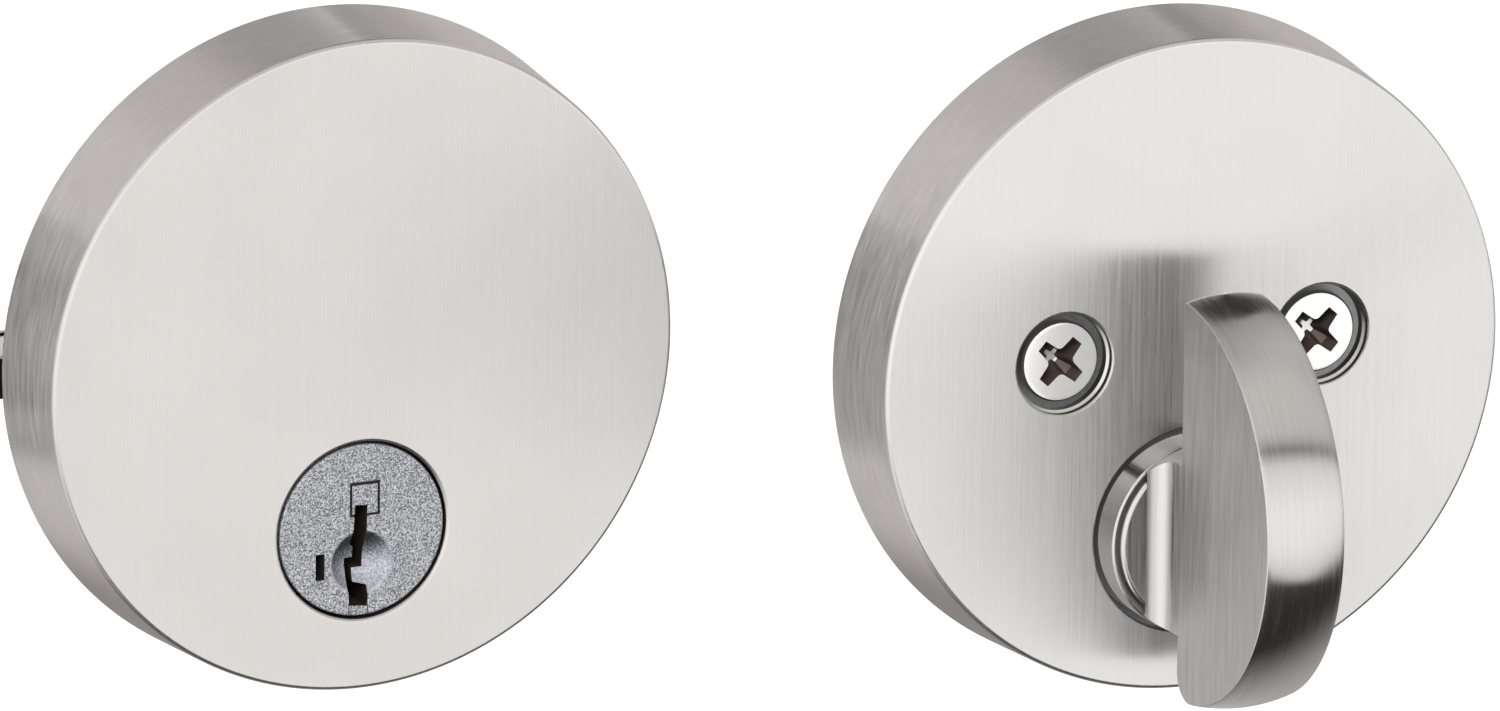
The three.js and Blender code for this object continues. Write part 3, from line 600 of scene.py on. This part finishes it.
def make_mounting_screw(side):
    node = "mounting_screw_" + ("left" if side < 0 else "right")
    x, y, z = INSIDE
    face, seat = FRONT + 1.0, -7.8
    tip = seat + SCREW["length"]
    r, head, pitch = SCREW["r"], SCREW["head_r"], 0.8
    profile = [(0, face), (head - 0.6, face), (head - 0.25, face + 0.05), (head - 0.05, face + 0.25)]
    profile += [(head, face + 0.6), (head, seat), (r - 0.1, seat), (r - 0.1, seat + 4)]
    profile += thread(r, seat + 4, tip - 1, pitch, 0.38)
    profile += [(r - 0.7, tip), (0, tip)]
    screw = turned("screw", profile, 96, (screw_nickel, painted_recess_shade, painted_shade), BORE, pitch)
    cut(screw, cross_tool(5.5, 1.6, face - 0.2, face + 2.4, 48))

    def choose(centre, normal):
        """Painted shade: a brown recess, and a near-black edge to the head where it stands in the hole."""
        reach = math.hypot(centre.x, centre.z)
        if reach < head - 1.3:
            return 1 if face + 0.02 < centre.y < seat - 0.4 else 0
        return 2 if normal.y > -0.8 and centre.y < seat else 0

    paint(screw, choose)
    at = (x + side * SCREW["x"], y, z + SCREW["z"])
    stand_for(shift(screw, at), node, "lock_body")


def make_small_screw(node, head, tip, r, at):
    """A pan-head machine screw with its head at the back: head is where that starts, tip the far end."""
    profile = [(0, tip), (r - 0.25, tip)] + thread(r, tip + 0.3, head - 0.1, 0.5, 0.2)
    profile += [(r, head), (1.9, head), (2.0, head + 0.1), (2.0, head + 0.7)]
    profile += arc(1.55, head + 0.65, 0.45, 0, 90, 4) + [(0, head + 1.1)]
    screw = turned("screw", profile, 40, (), BORE, 0.5)
    cut(screw, cross_tool(2.4, 0.6, head + 1.2, head + 0.3, 20))
    finished(screw, node, at, 0)


def make_face_screw(side):
    node = "face_screw_" + ("lower" if side < 0 else "upper")
    profile = [(0, 41), (0.3, 41.2)] + thread(1.1, 42, 44, 1.4, 0.6)[:-1] + thread(1.8, 44, 55, 1.4, 0.6)
    profile += [(1.35, 55.5), (1.75, 57.2), (4.0, 59.85), (4.0, 59.95), (0, 59.95)]
    screw = turned("screw", profile, 48, (), BORE, 1.4)
    cut(screw, cross_tool(4.4, 0.9, 60.1, 58.2, 17))
    finished(along_bolt(screw), node, (0, 0, side * FACE["screw_z"]), 0)


make_mounting_screw(-1)
make_mounting_screw(1)
for hand, side in (("left", -1), ("right", 1)):
    make_small_screw("cylinder_screw_" + hand, -0.75, -7.0, 1.0, (side * CYLINDER_SCREW_X, 0, -DROP))
    at = (INSIDE[0] + side * COVER_SCREW["x"], INSIDE[1], INSIDE[2] + COVER_SCREW["z"])
    make_small_screw("cover_screw_" + hand, -1.25, -6.2, 0.95, at)
    make_face_screw(side)


# ---- Key plug ----

KEYWAY = [
    (-0.72, 2.65), (0.62, 2.55), (0.46, -4.08), (-0.7, -4.08), (-0.7, -5.45), (0.72, -5.84),
    (0.69, -7.9), (-1.32, -7.7), (-1.54, -2.98), (-0.6, -2.96), (-0.6, -1.85), (-0.98, -1.65),
]


def dish_tool(face):
    """The tool for the shallow bowl that guides the key in."""
    edge, deep = PLUG["dish_r"], PLUG["dish_deep"]
    profile = [(0, face - 1), (edge, face - 1)]
    profile += [(r, face + deep * (1 - (r / edge) ** 2)) for r in (edge, 3, 2.5, 2, 1.5, 1, 0.5)]
    return turned("dish", profile + [(0, face + deep)], 64, (), (0, 0, PLUG["dish_z"]))


def make_plug():
    """The plug's face carries a bowl, a rectangle mark, the keyway with two fine lines and a tool slot."""
    face, face_r, r = FRONT + 0.2, PLUG["face_r"], PLUG["r"]
    profile = [(0, face)] + arc(face_r - 0.2, face + 0.2, 0.2, -90, 0, 4)
    profile += [(face_r, -8.4), (r, -8.4), (r, 7.6)]
    profile += [(4, 7.6), (4, 10.25), (3.2, 10.25), (3.2, 12.3), (0, 12.3)]
    plug = turned("plug", profile, 128, (plug_nickel, painted_shade, dish_nickel))
    cut(plug, dish_tool(face))
    mark = block((-1.3, 1.95), (face - 1, face + 0.3), (1.45, 5.0))
    cut(plug, cut(mark, block((-1.05, 1.7), (face - 2, face + 1), (1.7, 4.65))))
    cut(plug, prism("keyway", KEYWAY, face - 1, 5))
    slot = prism("slot", [(-4.95, -4.75), (-3.9, -4.75), (-3.9, -2.05), (-4.95, -2.05)], face - 1, face + 4)
    for v in slot.data.vertices:
        if v.co.y > face * MM:
            v.co.x = min(v.co.x, -4.35 * MM)
    cut(plug, slot)
    for a in (-1.32, 0.69):
        cut(plug, block((a - 0.06, a + 0.06), (face - 1, face + 0.25), (-9, -7.6)))

    def choose(centre, normal):
        """The groove of the mark and whatever lies deep in the face are painted near black as shade, and the
        dish is smoother.
        """
        if centre.y < face + 0.02 or math.hypot(centre.x, centre.z) > r - 0.1:
            return 0
        in_mark = centre.z > 1.3 and abs(centre.x - 0.3) < 1.7 and centre.z < 5.1
        if in_mark or centre.y > face + PLUG["dish_deep"] + 0.05:
            return 1
        in_dish = math.hypot(centre.x, centre.z - PLUG["dish_z"]) < PLUG["dish_r"] + 0.05
        return 2 if in_dish and normal.y < -0.5 else 0

    paint(plug, choose)
    stand_for(shift(plug, CYLINDER), "cylinder_plug", "plug")


make_plug()


# ---- Exterior half ----

def make_chassis():
    """A plate with the collar that centres it in the door's bore."""
    front, back, r, collar_r, inner_r = -3, -0.8, 31.8, 26.9, 24.9
    profile = [(0, front), (r, front), (r, back), (collar_r, back), (collar_r, 5), (inner_r, 5)]
    profile += [(inner_r, back), (0, back)]
    holes = [rod(10.05, -4, 6, 0, -DROP), rod(2.65, -4, 1)]
    for side in (-1, 1):
        holes.append(rod(2.5, -4, 1, side * SCREW["x"], SCREW["z"]))
        holes.append(rod(1.2, -4, 1, side * CYLINDER_SCREW_X, -DROP))
    finished(cut(turned("chassis", profile, 192), *holes), "exterior_chassis", BORE, 0.2)


def make_post(side):
    hand = "left" if side < 0 else "right"
    at = (side * SCREW["x"], 0, SCREW["z"])
    profile = [(0, -2.9), (2.4, -2.9), (2.4, -0.75), (4.2, -0.75), (4.2, 11.2)]
    profile += [(3.2, 11.2), (3.2, 23.7), (0, 23.7)]
    finished(cut(turned("post", profile), rod(1.85, 10.7, 25)), "mounting_post_" + hand, at, 0.25)
    finished(hoop(3.3, 4.6, 12.6, 13.4), "post_ring_" + hand, at, 0.15)


def make_gear_cover():
    low, high = 11.3, 12.5
    x, z = SCREW["x"], SCREW["z"]
    plate = rod(10.6, low, high, segments=128)
    join(plate, rod(9.6, low, high, 0, -DROP, 128), block((-9.5, 9.5), (low, high), (-DROP, 0)))
    join(plate, block((-x, x), (low, high), (z - 4.5, z + 4.5)))
    join(plate, rod(4.6, low, high, -x, z), rod(4.6, low, high, x, z))
    cut(plate, rod(4.25, 10, 14), rod(3.35, 10, 14, 0, -DROP))
    cut(plate, rod(3.35, 10, 14, -x, z), rod(3.35, 10, 14, x, z))
    finished(plate, "gear_cover", BORE, 0.15)


def make_cylinder_body():
    """The cylinder's shell, with an ear on each side for its screw."""
    x = CYLINDER_SCREW_X
    shell = rod(9.7, -8.3, 7.5, segments=96)
    join(shell, block((-14.9, 14.9), (-8, -6.3), (-2.6, 2.6)))
    join(shell, rod(2.4, -7.3, -3.3, -x), rod(2.4, -7.3, -3.3, x))
    cut(shell, rod(8.35, -10, 9, segments=96), rod(1.1, -7.3, -2, -x), rod(1.1, -7.3, -2, x))
    shift(shell, CYLINDER)
    for material in (zinc, painted_shade):
        shell.data.materials.append(material)
    # The shell's front, seen through the ring round the plug, is painted near black as shade.
    paint(shell, lambda centre, normal: 1 if centre.y < -7 else 0)
    stand_for(shell, "cylinder_body", "lock_body")


def gear(low, high):
    """An involute spur gear with one tooth at +Z."""
    base = GEAR["pitch_r"] * math.cos(PRESSURE)
    radii = [GEAR["pitch_r"] + d for d in (-GEAR["dedendum"], -0.8, -0.4, 0, 0.4, GEAR["addendum"])]

    def half_tooth(r):
        """Half a tooth's angle at a radius."""
        roll = math.acos(min(1, base / r))
        flank = (math.tan(roll) - roll) - (math.tan(PRESSURE) - PRESSURE)
        return GEAR["thickness"] * math.pi / GEAR["teeth"] - flank

    points = []
    for tooth in range(GEAR["teeth"]):
        middle = math.pi / 2 + 2 * math.pi * tooth / GEAR["teeth"]
        flanks = [(r, -half_tooth(r)) for r in radii] + [(r, half_tooth(r)) for r in reversed(radii)]
        points += [(r * math.cos(middle + a), r * math.sin(middle + a)) for r, a in flanks]
    return prism("gear", points, low, high)


def blade(low, high, grow=0.0):
    """The tailpiece's flat blade."""
    x, z = BLADE["thick"] / 2 + grow, BLADE["wide"] / 2 + grow
    return block((-x, x), (low, high), (-z, z))


def blade_slot(low, high):
    """The tool for a slot that the blade fits."""
    return blade(low, high, BLADE["slack"])


def clip(inner, outer, low, high):
    """A retaining clip, open towards +X."""
    gap = inner * 0.6
    return cut(hoop(inner, outer, low, high), block((0, outer + 1), (low - 1, high + 1), (-gap, gap)))


def make_trains():
    """Both gear pairs, with the hubs and clips that carry them."""
    finished(cut(gear(*OUTER_GEARS), rod(4.1, 7, 11)), "plug_gear", CYLINDER, 0.08)
    finished(clip(3.3, 5.2, 10.35, 11.1), "plug_clip", CYLINDER, 0.1)
    tail = join(rod(2.5, -2.8, 8.1), gear(*OUTER_GEARS), rod(4, 10.1, 12.7))
    finished(cut(tail, blade_slot(7.5, 14)), "tail_gear", BORE, 0.08)
    square = block((-2.95, 2.95), (-7, -1), (-2.95, 2.95))
    finished(cut(gear(*INNER_GEARS), square), "thumb_gear", TURN, 0.08)
    finished(clip(4.1, 6, -3.1, -2.5), "thumb_clip", TURN, 0.1)
    hub = join(rod(3.6, -7.6, -5.3), gear(*INNER_GEARS), rod(5, -3.3, -0.9))
    finished(cut(hub, blade_slot(-7, 0)), "drive_hub", INSIDE, 0.08)


def make_exterior_half():
    make_chassis()
    finished(hoop(27.6, 31.2, -0.72, 0, 192), "exterior_gasket", BORE, 0.15)
    make_post(-1)
    make_post(1)
    make_gear_cover()
    make_cylinder_body()
    make_trains()
    finished(blade(BLADE["from"], BLADE["to"]), "tailpiece", BORE, 0.25)


make_exterior_half()


# ---- Bolt unit ----

def bolt_section(grow):
    """The bolt's section in (y, z): a circle with its two sides cut flat."""
    r = BOLT["r"] + grow
    corner = math.degrees(math.acos((BOLT["flat"] + grow) / r))
    upper = arc(BOLT_Y, 0, r, corner, 180 - corner, 40)
    return upper + arc(BOLT_Y, 0, r, 180 + corner, 360 - corner, 40)


def make_bolt():
    bolt = soften(prism("bolt", bolt_section(0), BOLT["front"], BOLT["rear"], "X"), 0.7, 4)
    join(bolt, block((-33, -21), (BOLT_Y - 3.5, BOLT_Y + 3.5), (-8.2, -4.4)))
    cut(bolt, along_bolt(rod(2.1, 31.5, 57)), block((-29.2, -20), (BOLT_Y - 0.6, BOLT_Y + 2), (-9.2, -4.6)))
    cut(bolt, rod(1, BOLT_Y - 5, BOLT_Y + 5, *TAIL_RIVET))
    finished(bolt, "bolt", BORE, 0.1)
    finished(along_bolt(rod(1.95, 33, 56.8)), "bolt_pin", BORE, 0.2)
    finished(rod(0.9, BOLT_Y - 3.4, BOLT_Y + 3.4, *TAIL_RIVET), "tail_rivet", BORE, 0.1)


def make_bolt_tail():
    """A stamped bar with a fork that the cam's pin drives."""
    pin, inner, outer, tip_r = CAM_R * math.sqrt(0.5), 2.3, 4.1, 0.9
    top, low, tip = -6.6, -9.6, -19.8
    start, waist_end, waist_top, waist_low = -29, -14, -4.7, -7.9
    outline = [(start, waist_top), (waist_end, waist_top), (waist_end + 2, top), (pin + outer, top)]
    outline += arc(pin + inner + tip_r, tip + tip_r, tip_r, 0, -180, 8)
    outline += [(pin + inner, low), (pin - inner, low)]
    outline += arc(pin - inner - tip_r, tip + tip_r, tip_r, 0, -180, 8)
    outline += [(pin - outer, low), (waist_end + 2, low), (waist_end, waist_low), (start, waist_low)]
    bar = prism("bar", outline, BOLT_Y - 0.5, BOLT_Y + 1.9)
    finished(cut(bar, rod(1, BOLT_Y - 2, BOLT_Y + 3, *TAIL_RIVET)), "bolt_tail", BORE, 0.2)


def make_cam():
    """A slotted hub with an arm, and the pin at the arm's end."""
    low, high = BOLT_Y - CASE["half"], BOLT_Y + CASE["half"]
    arm_low, arm_high, arm_r = BOLT_Y - 2.6, BOLT_Y - 0.8, 2.6
    profile = [(0, low + 0.1), (4.2, low + 0.1), (4.2, arm_low - 0.3), (6, arm_low - 0.3), (6, BOLT_Y + 2.9)]
    profile += [(4.2, BOLT_Y + 2.9), (4.2, high - 0.1), (0, high - 0.1)]
    arm = prism("arm", [(-3.4, 0), (3.4, 0), (arm_r, -CAM_R), (-arm_r, -CAM_R)], arm_low, arm_high)
    turn_y(join(arm, rod(arm_r, arm_low, arm_high, 0, -CAM_R)), -45)
    pin = CAM_R * math.sqrt(0.5)
    cam = cut(join(turned("cam", profile), arm), blade_slot(low - 1, high + 1))
    finished(cut(cam, rod(1.65, arm_low - 1, arm_high + 1, pin, -pin)), "cam", BORE, 0.15)
    finished(rod(1.6, arm_low + 0.1, BOLT_Y + 2.5, pin, -pin), "drive_pin", BORE, 0.2)


def make_case():
    """The tube, the two plates with their slim neck, and the three rivets between these."""
    r, inner_r, rear, front = TUBE["r"], TUBE["r"] - TUBE["wall"], TUBE["rear"], TUBE["front"]
    profile = [(0, rear), (r, rear), (r, front), (inner_r, front), (inner_r, rear + 1), (0, rear + 1)]
    tube = along_bolt(turned("tube", profile, 128))
    cut(tube, block((-33, -30), (BOLT_Y - 3.8, BOLT_Y + 3.8), (-9.9, -4.1)))
    finished(tube, "latch_tube", BORE, 0.15)
    low, high = BOLT_Y - CASE["half"], BOLT_Y + CASE["half"]
    x0, x1, top, bottom = NECK["x0"], NECK["x1"], NECK["top"], NECK["bottom"]
    outline = [(-30.9, CASE["low"]), (x0, CASE["low"]), (x0, bottom), (x1, bottom), (x1, CASE["low"])]
    outline += [(0, CASE["low"]), (0, CASE["shoulder"]), (x1 + 2, CASE["shoulder"]), (x1, top), (x0, top)]
    outline += [(x0, 4.4), (-30.9, 4.4)]
    for node, y0 in (("case_plate_front", low), ("case_plate_back", high - CASE["sheet"])):
        y1 = y0 + CASE["sheet"]
        plate = join(prism("plate", outline, y0, y1), rod(8.9, y0, y1, segments=96))
        holes = [rod(1, y0 - 1, y0 + 2, a, b) for a, b in CASE_RIVETS]
        finished(cut(plate, rod(4.4, y0 - 1, y0 + 2), *holes), node, BORE, 0.12)
    profile = [(0, low - 0.3), (1.3, low - 0.3), (1.3, low - 0.05), (0.9, low - 0.05), (0.9, high + 0.05)]
    profile += [(1.5, high + 0.05)] + arc(0.95, high + 0.05, 0.55, 0, 90, 5) + [(0, high + 0.6)]
    for i, (a, b) in enumerate(CASE_RIVETS):
        finished(turned("rivet", profile, 32), f"case_rivet_{i + 1}", (a, 0, b), 0.06)


def make_edge_plate(node, x0, x1, shrink, material, seat=None):
    """A plate with round corners on the door's edge. A seat is the radius of a recess for the tube's end."""
    corner = FACE["corner"]
    y, z = (FACE["wide"] - shrink) / 2 - corner, (FACE["high"] - shrink) / 2 - corner
    outline = arc(BOLT_Y + y, z, corner, 0, 90, 16) + arc(BOLT_Y - y, z, corner, 90, 180, 16)
    outline += arc(BOLT_Y - y, -z, corner, 180, 270, 16) + arc(BOLT_Y + y, -z, corner, 270, 360, 16)
    plate = prism("plate", outline, x0, x1, "X")
    cut(plate, prism("window", bolt_section(0.15), x0 - 1, x1 + 1, "X"))
    hole = [(0, 50), (2.2, 50), (2.2, 57.75), (4.4, 60.05), (4.4, 62), (0, 62)]
    for side in (-1, 1):
        cut(plate, shift(along_bolt(turned("hole", hole, 64)), (0, 0, side * FACE["screw_z"])))
    if seat:
        cut(plate, along_bolt(rod(seat, 56, 58.2, segments=128)))
    finished(plate, node, BORE, 0.12, material)


def make_bolt_unit():
    make_bolt()
    make_bolt_tail()
    make_cam()
    make_case()
    make_edge_plate("faceplate", BOLT["front"], BOLT["front"] + FACE["thick"], 0, rim_nickel)
    make_edge_plate("backplate", -58.7, -57.7, 0.4, steel, TUBE["seat_r"])


make_bolt_unit()


# ---- Interior half's mounting plate and cover ----

def make_interior_plate():
    low, high = -7.7, -5.7
    x, z = COVER_SCREW["x"], COVER_SCREW["z"]
    profile = [(0, low), (31.2, low), (31.2, -0.1), (29.4, -0.1), (29.4, high), (0, high)]
    plate = turned("plate", profile, 192)
    join(plate, *[rod(2.3, high - 1, -2.4, side * x, z) for side in (-1, 1)])
    cut(plate, rod(3.75, low - 1, high + 1), rod(4.65, low - 1, high + 1, 0, -DROP))
    for side in (-1, 1):
        cut(plate, rod(2.33, low - 1, high + 1, side * SCREW["x"], SCREW["z"]))
        cut(plate, rod(1.1, -6.6, -1, side * x, z))
    finished(plate, "interior_plate", INSIDE, 0.2)


def make_interior_cover():
    low, high = -2.3, -1.3
    x, z = COVER_SCREW["x"], COVER_SCREW["z"]
    plate = join(rod(10.6, low, high, segments=128), rod(10.6, low, high, 0, -DROP, 128))
    join(plate, block((-10.5, 10.5), (low, high), (-DROP, 0)))
    join(plate, block((-x, x), (low, high), (z - 2.9, z + 2.9)))
    for side in (-1, 1):
        join(plate, rod(3, low, high, side * x, z))
        cut(plate, rod(1.15, low - 1, high + 1, side * x, z))
    finished(cut(plate, rod(5.2, low - 1, high + 1)), "interior_cover", INSIDE, 0.15)


make_interior_plate()
make_interior_cover()


# ---- Materials for the CAD nodes that stay: the pins, wafers and sidebar inside the plug ----

for part, slot in SLOT_OF.items():
    node = frame["nodes"][part]
    node.data.materials.clear()
    node.data.materials.append(FINISH[slot])


# ---- Studio ----

# Tones by the angle round the X axis, in degrees: 0 in front, 90 above, 180 behind, -90 below.
ROUND = [
    (-180, 0.90), (-157, 0.51), (-137, 0.52), (-118, 0.47), (-98, 0.33), (-88, 0.21), (-78, 0.11),
    (-70, 0.03), (-48, 0.035), (-37, 0.06), (-33, 0.85), (-24, 1.02), (-18, 1.11), (2, 1.13), (12, 1.06),
    (22, 0.96), (28, 0.88), (31, 0.76), (35, 0.46), (38, 0.26), (42, 0.50), (47, 0.66), (60, 0.70),
    (82, 0.69), (102, 0.58), (123, 0.42), (127, 0.05), (153, 0.05), (157, 1.0), (162, 1.22), (172, 1.10),
    (180, 0.90),
]
# What is left of these tones from side to side, by x: in front, and behind.
FRONT_SIDES = [(-1, 1.0), (0.8, 1.0), (1.0, 0.6)]
BACK_SIDES = [
    (-1, 0.45), (-0.5, 0.60), (-0.4, 0.92), (-0.28, 0.86), (0.04, 0.74), (0.4, 1.0), (0.6, 1.0), (1, 0.5),
]
MIDDLE_X = 0.4  # the x at which the tones stand at their own angles
HIGH_BEHIND = (95.0, 110.0)  # the angles at which what lies high behind fades in
TWICE_MIRRORED = 0.1  # what is left of the light that is mirrored a second time


def tone(level):
    """A level of light, a little warm where it is dark."""
    clipped = min(level, 1)
    return (level, level * (0.93 + 0.06 * clipped), level * (0.90 + 0.08 * clipped), 1.0)


def gray(level):
    return (level, level, level, 1.0)


class Sky:
    """The world's node tree, with short calls that add a node and return what comes out of it."""

    def __init__(self):
        world = bpy.data.worlds.new("studio")
        bpy.context.scene.world = world
        world.use_nodes = True
        self.tree = world.node_tree
        self.tree.nodes.clear()

    def add(self, kind, *sources, **values):
        """A node, its sockets linked to outputs or set to numbers and colours."""
        node = self.tree.nodes.new("ShaderNode" + kind)
        for key, value in values.items():
            setattr(node, key, value)
        for socket, source in zip(node.inputs, sources):
            self.fill(socket, source)
        return node

    def fill(self, socket, source):
        if isinstance(source, (int, float, tuple)):
            socket.default_value = source
        else:
            self.tree.links.new(source, socket)

    def math(self, operation, *sources):
        return self.add("Math", *sources, operation=operation).outputs[0]

    def span(self, value, low, high, start, end):
        """Maps a value from low..high on to start..end, and no further."""
        return self.add("MapRange", value, low, high, start, end).outputs[0]

    def mix(self, amount, first, second, blend="MIX"):
        node = self.add("Mix", data_type="RGBA", blend_type=blend)
        for i, source in ((0, amount), (6, first), (7, second)):
            self.fill(node.inputs[i], source)
        return node.outputs[2]

    def ramp(self, value, stops, low, high, color):
        """Colours along a value that runs from low to high."""
        node = self.add("ValToRGB", self.span(value, low, high, 0.0, 1.0))
        elements = node.color_ramp.elements
        while len(elements) < len(stops):
            elements.new(1.0)
        for element, (where, level) in zip(elements, stops):
            element.position = (where - low) / (high - low)
            element.color = color(level)
        return node.outputs["Color"]


def lean(sky, x, turn):
    """Degrees by which the tones are turned, away from MIDDLE_X: low in front, low behind and high behind."""
    off = sky.math("SUBTRACT", x, MIDDLE_X)
    behind = sky.math("MULTIPLY", off, sky.span(turn, -45.0, -60.0, 0.0, -22.0))
    tent = sky.math("MINIMUM", sky.math("MULTIPLY", off, 13.0), sky.math("MULTIPLY", off, -4.0))
    below = sky.math("MULTIPLY", sky.span(turn, 5.0, -12.0, 0.0, 1.0), sky.span(turn, -60.0, -45.0, 0.0, 1.0))
    crest = sky.math("MINIMUM", sky.math("MULTIPLY", off, -17.0), sky.math("MULTIPLY", off, -100.0))
    above = sky.span(turn, *HIGH_BEHIND, 0.0, 1.0)
    front = sky.math("ADD", behind, sky.math("MULTIPLY", tent, below))
    return sky.math("ADD", front, sky.math("MULTIPLY", crest, above))


def add_world():
    """White for the camera. For reflections, a studio of tones round the X axis, with a bright left side."""
    sky = Sky()
    split = sky.add("SeparateXYZ", sky.add("TexCoord").outputs["Generated"])
    x, y, z = split.outputs
    turn = sky.math("DEGREES", sky.math("ARCTAN2", z, sky.math("MULTIPLY", y, -1.0)))
    around = sky.ramp(sky.math("ADD", turn, lean(sky, x, turn)), ROUND, -180, 180, tone)
    above = sky.span(turn, *HIGH_BEHIND, 0.0, 1.0)
    top_left = sky.math("MULTIPLY", sky.span(x, 0.1, -0.1, 0.0, 1.0), above)
    around = sky.mix(top_left, around, tone(0.6))
    left = sky.math("MULTIPLY", sky.span(x, -0.4, -0.55, 0.0, 1.0), sky.span(y, 0.4, 0.7, 1.0, 0.0))
    around = sky.mix(left, around, tone(1.25))
    front_sides = sky.ramp(x, FRONT_SIDES, -1, 1, gray)
    sides = sky.mix(sky.span(y, -0.3, 0.1, 0.0, 1.0), front_sides, sky.ramp(x, BACK_SIDES, -1, 1, gray))
    path = sky.add("LightPath").outputs
    again = sky.span(path["Ray Depth"], 2.0, 3.0, 1.0, TWICE_MIRRORED)
    studio = sky.mix(1.0, sky.mix(1.0, around, sides, "MULTIPLY"), again, "MULTIPLY")
    background = sky.add("Background", sky.mix(path["Is Camera Ray"], studio, (1.0, 1.0, 1.0, 1.0)))
    sky.add("OutputWorld", background.outputs[0])


def add_area(name, location, target, size, power):
    """A square light that is not mirrored."""
    data = bpy.data.lights.new(name, "AREA")
    data.size = size
    data.energy = power
    light = bpy.data.objects.new(name, data)
    bpy.context.scene.collection.objects.link(light)
    light.location = location
    light.rotation_euler = (Vector(target) - Vector(location)).to_track_quat("-Z", "Y").to_euler()
    light.visible_glossy = False


def add_floor():
    """A plain white floor well below the lock, which is held up by its door."""
    bm = bmesh.new()
    bmesh.ops.create_grid(bm, x_segments=1, y_segments=1, size=6.0)
    floor = from_bmesh("floor", bm)
    floor.location.z = cad_box[0][2] - 0.4
    n = Nodes("floor_white")
    n.plain(Base_Color=gray(0.9), Roughness=0.9, Emission_Color=gray(1), Emission_Strength=0.6)
    floor.data.materials.append(n.material)
    floor.visible_glossy = False
    floor.visible_diffuse = False


add_world()
add_area("soft_key", (-0.5, -1.2, 1.0), (0.04, 0, 0), 0.8, 20)
add_floor()
bpy.context.scene.view_settings.view_transform = "Standard"


def keep_out_of_reflections():
    """The thumbturn and the screws mirror the studio alone: the rest of the interior half isn't mirrored."""
    for piece in bpy.data.objects:
        corners = [piece.matrix_world @ Vector(corner) for corner in piece.bound_box]
        middle = sum(corner.x for corner in corners) / len(corners) / MM
        mirrored = piece.name.startswith(("thumbturn", "mounting_screw"))
        if piece.type == "MESH" and abs(middle - INSIDE[0]) < TRIM["back_r"] and not mirrored:
            piece.visible_glossy = False


keep_out_of_reflections()
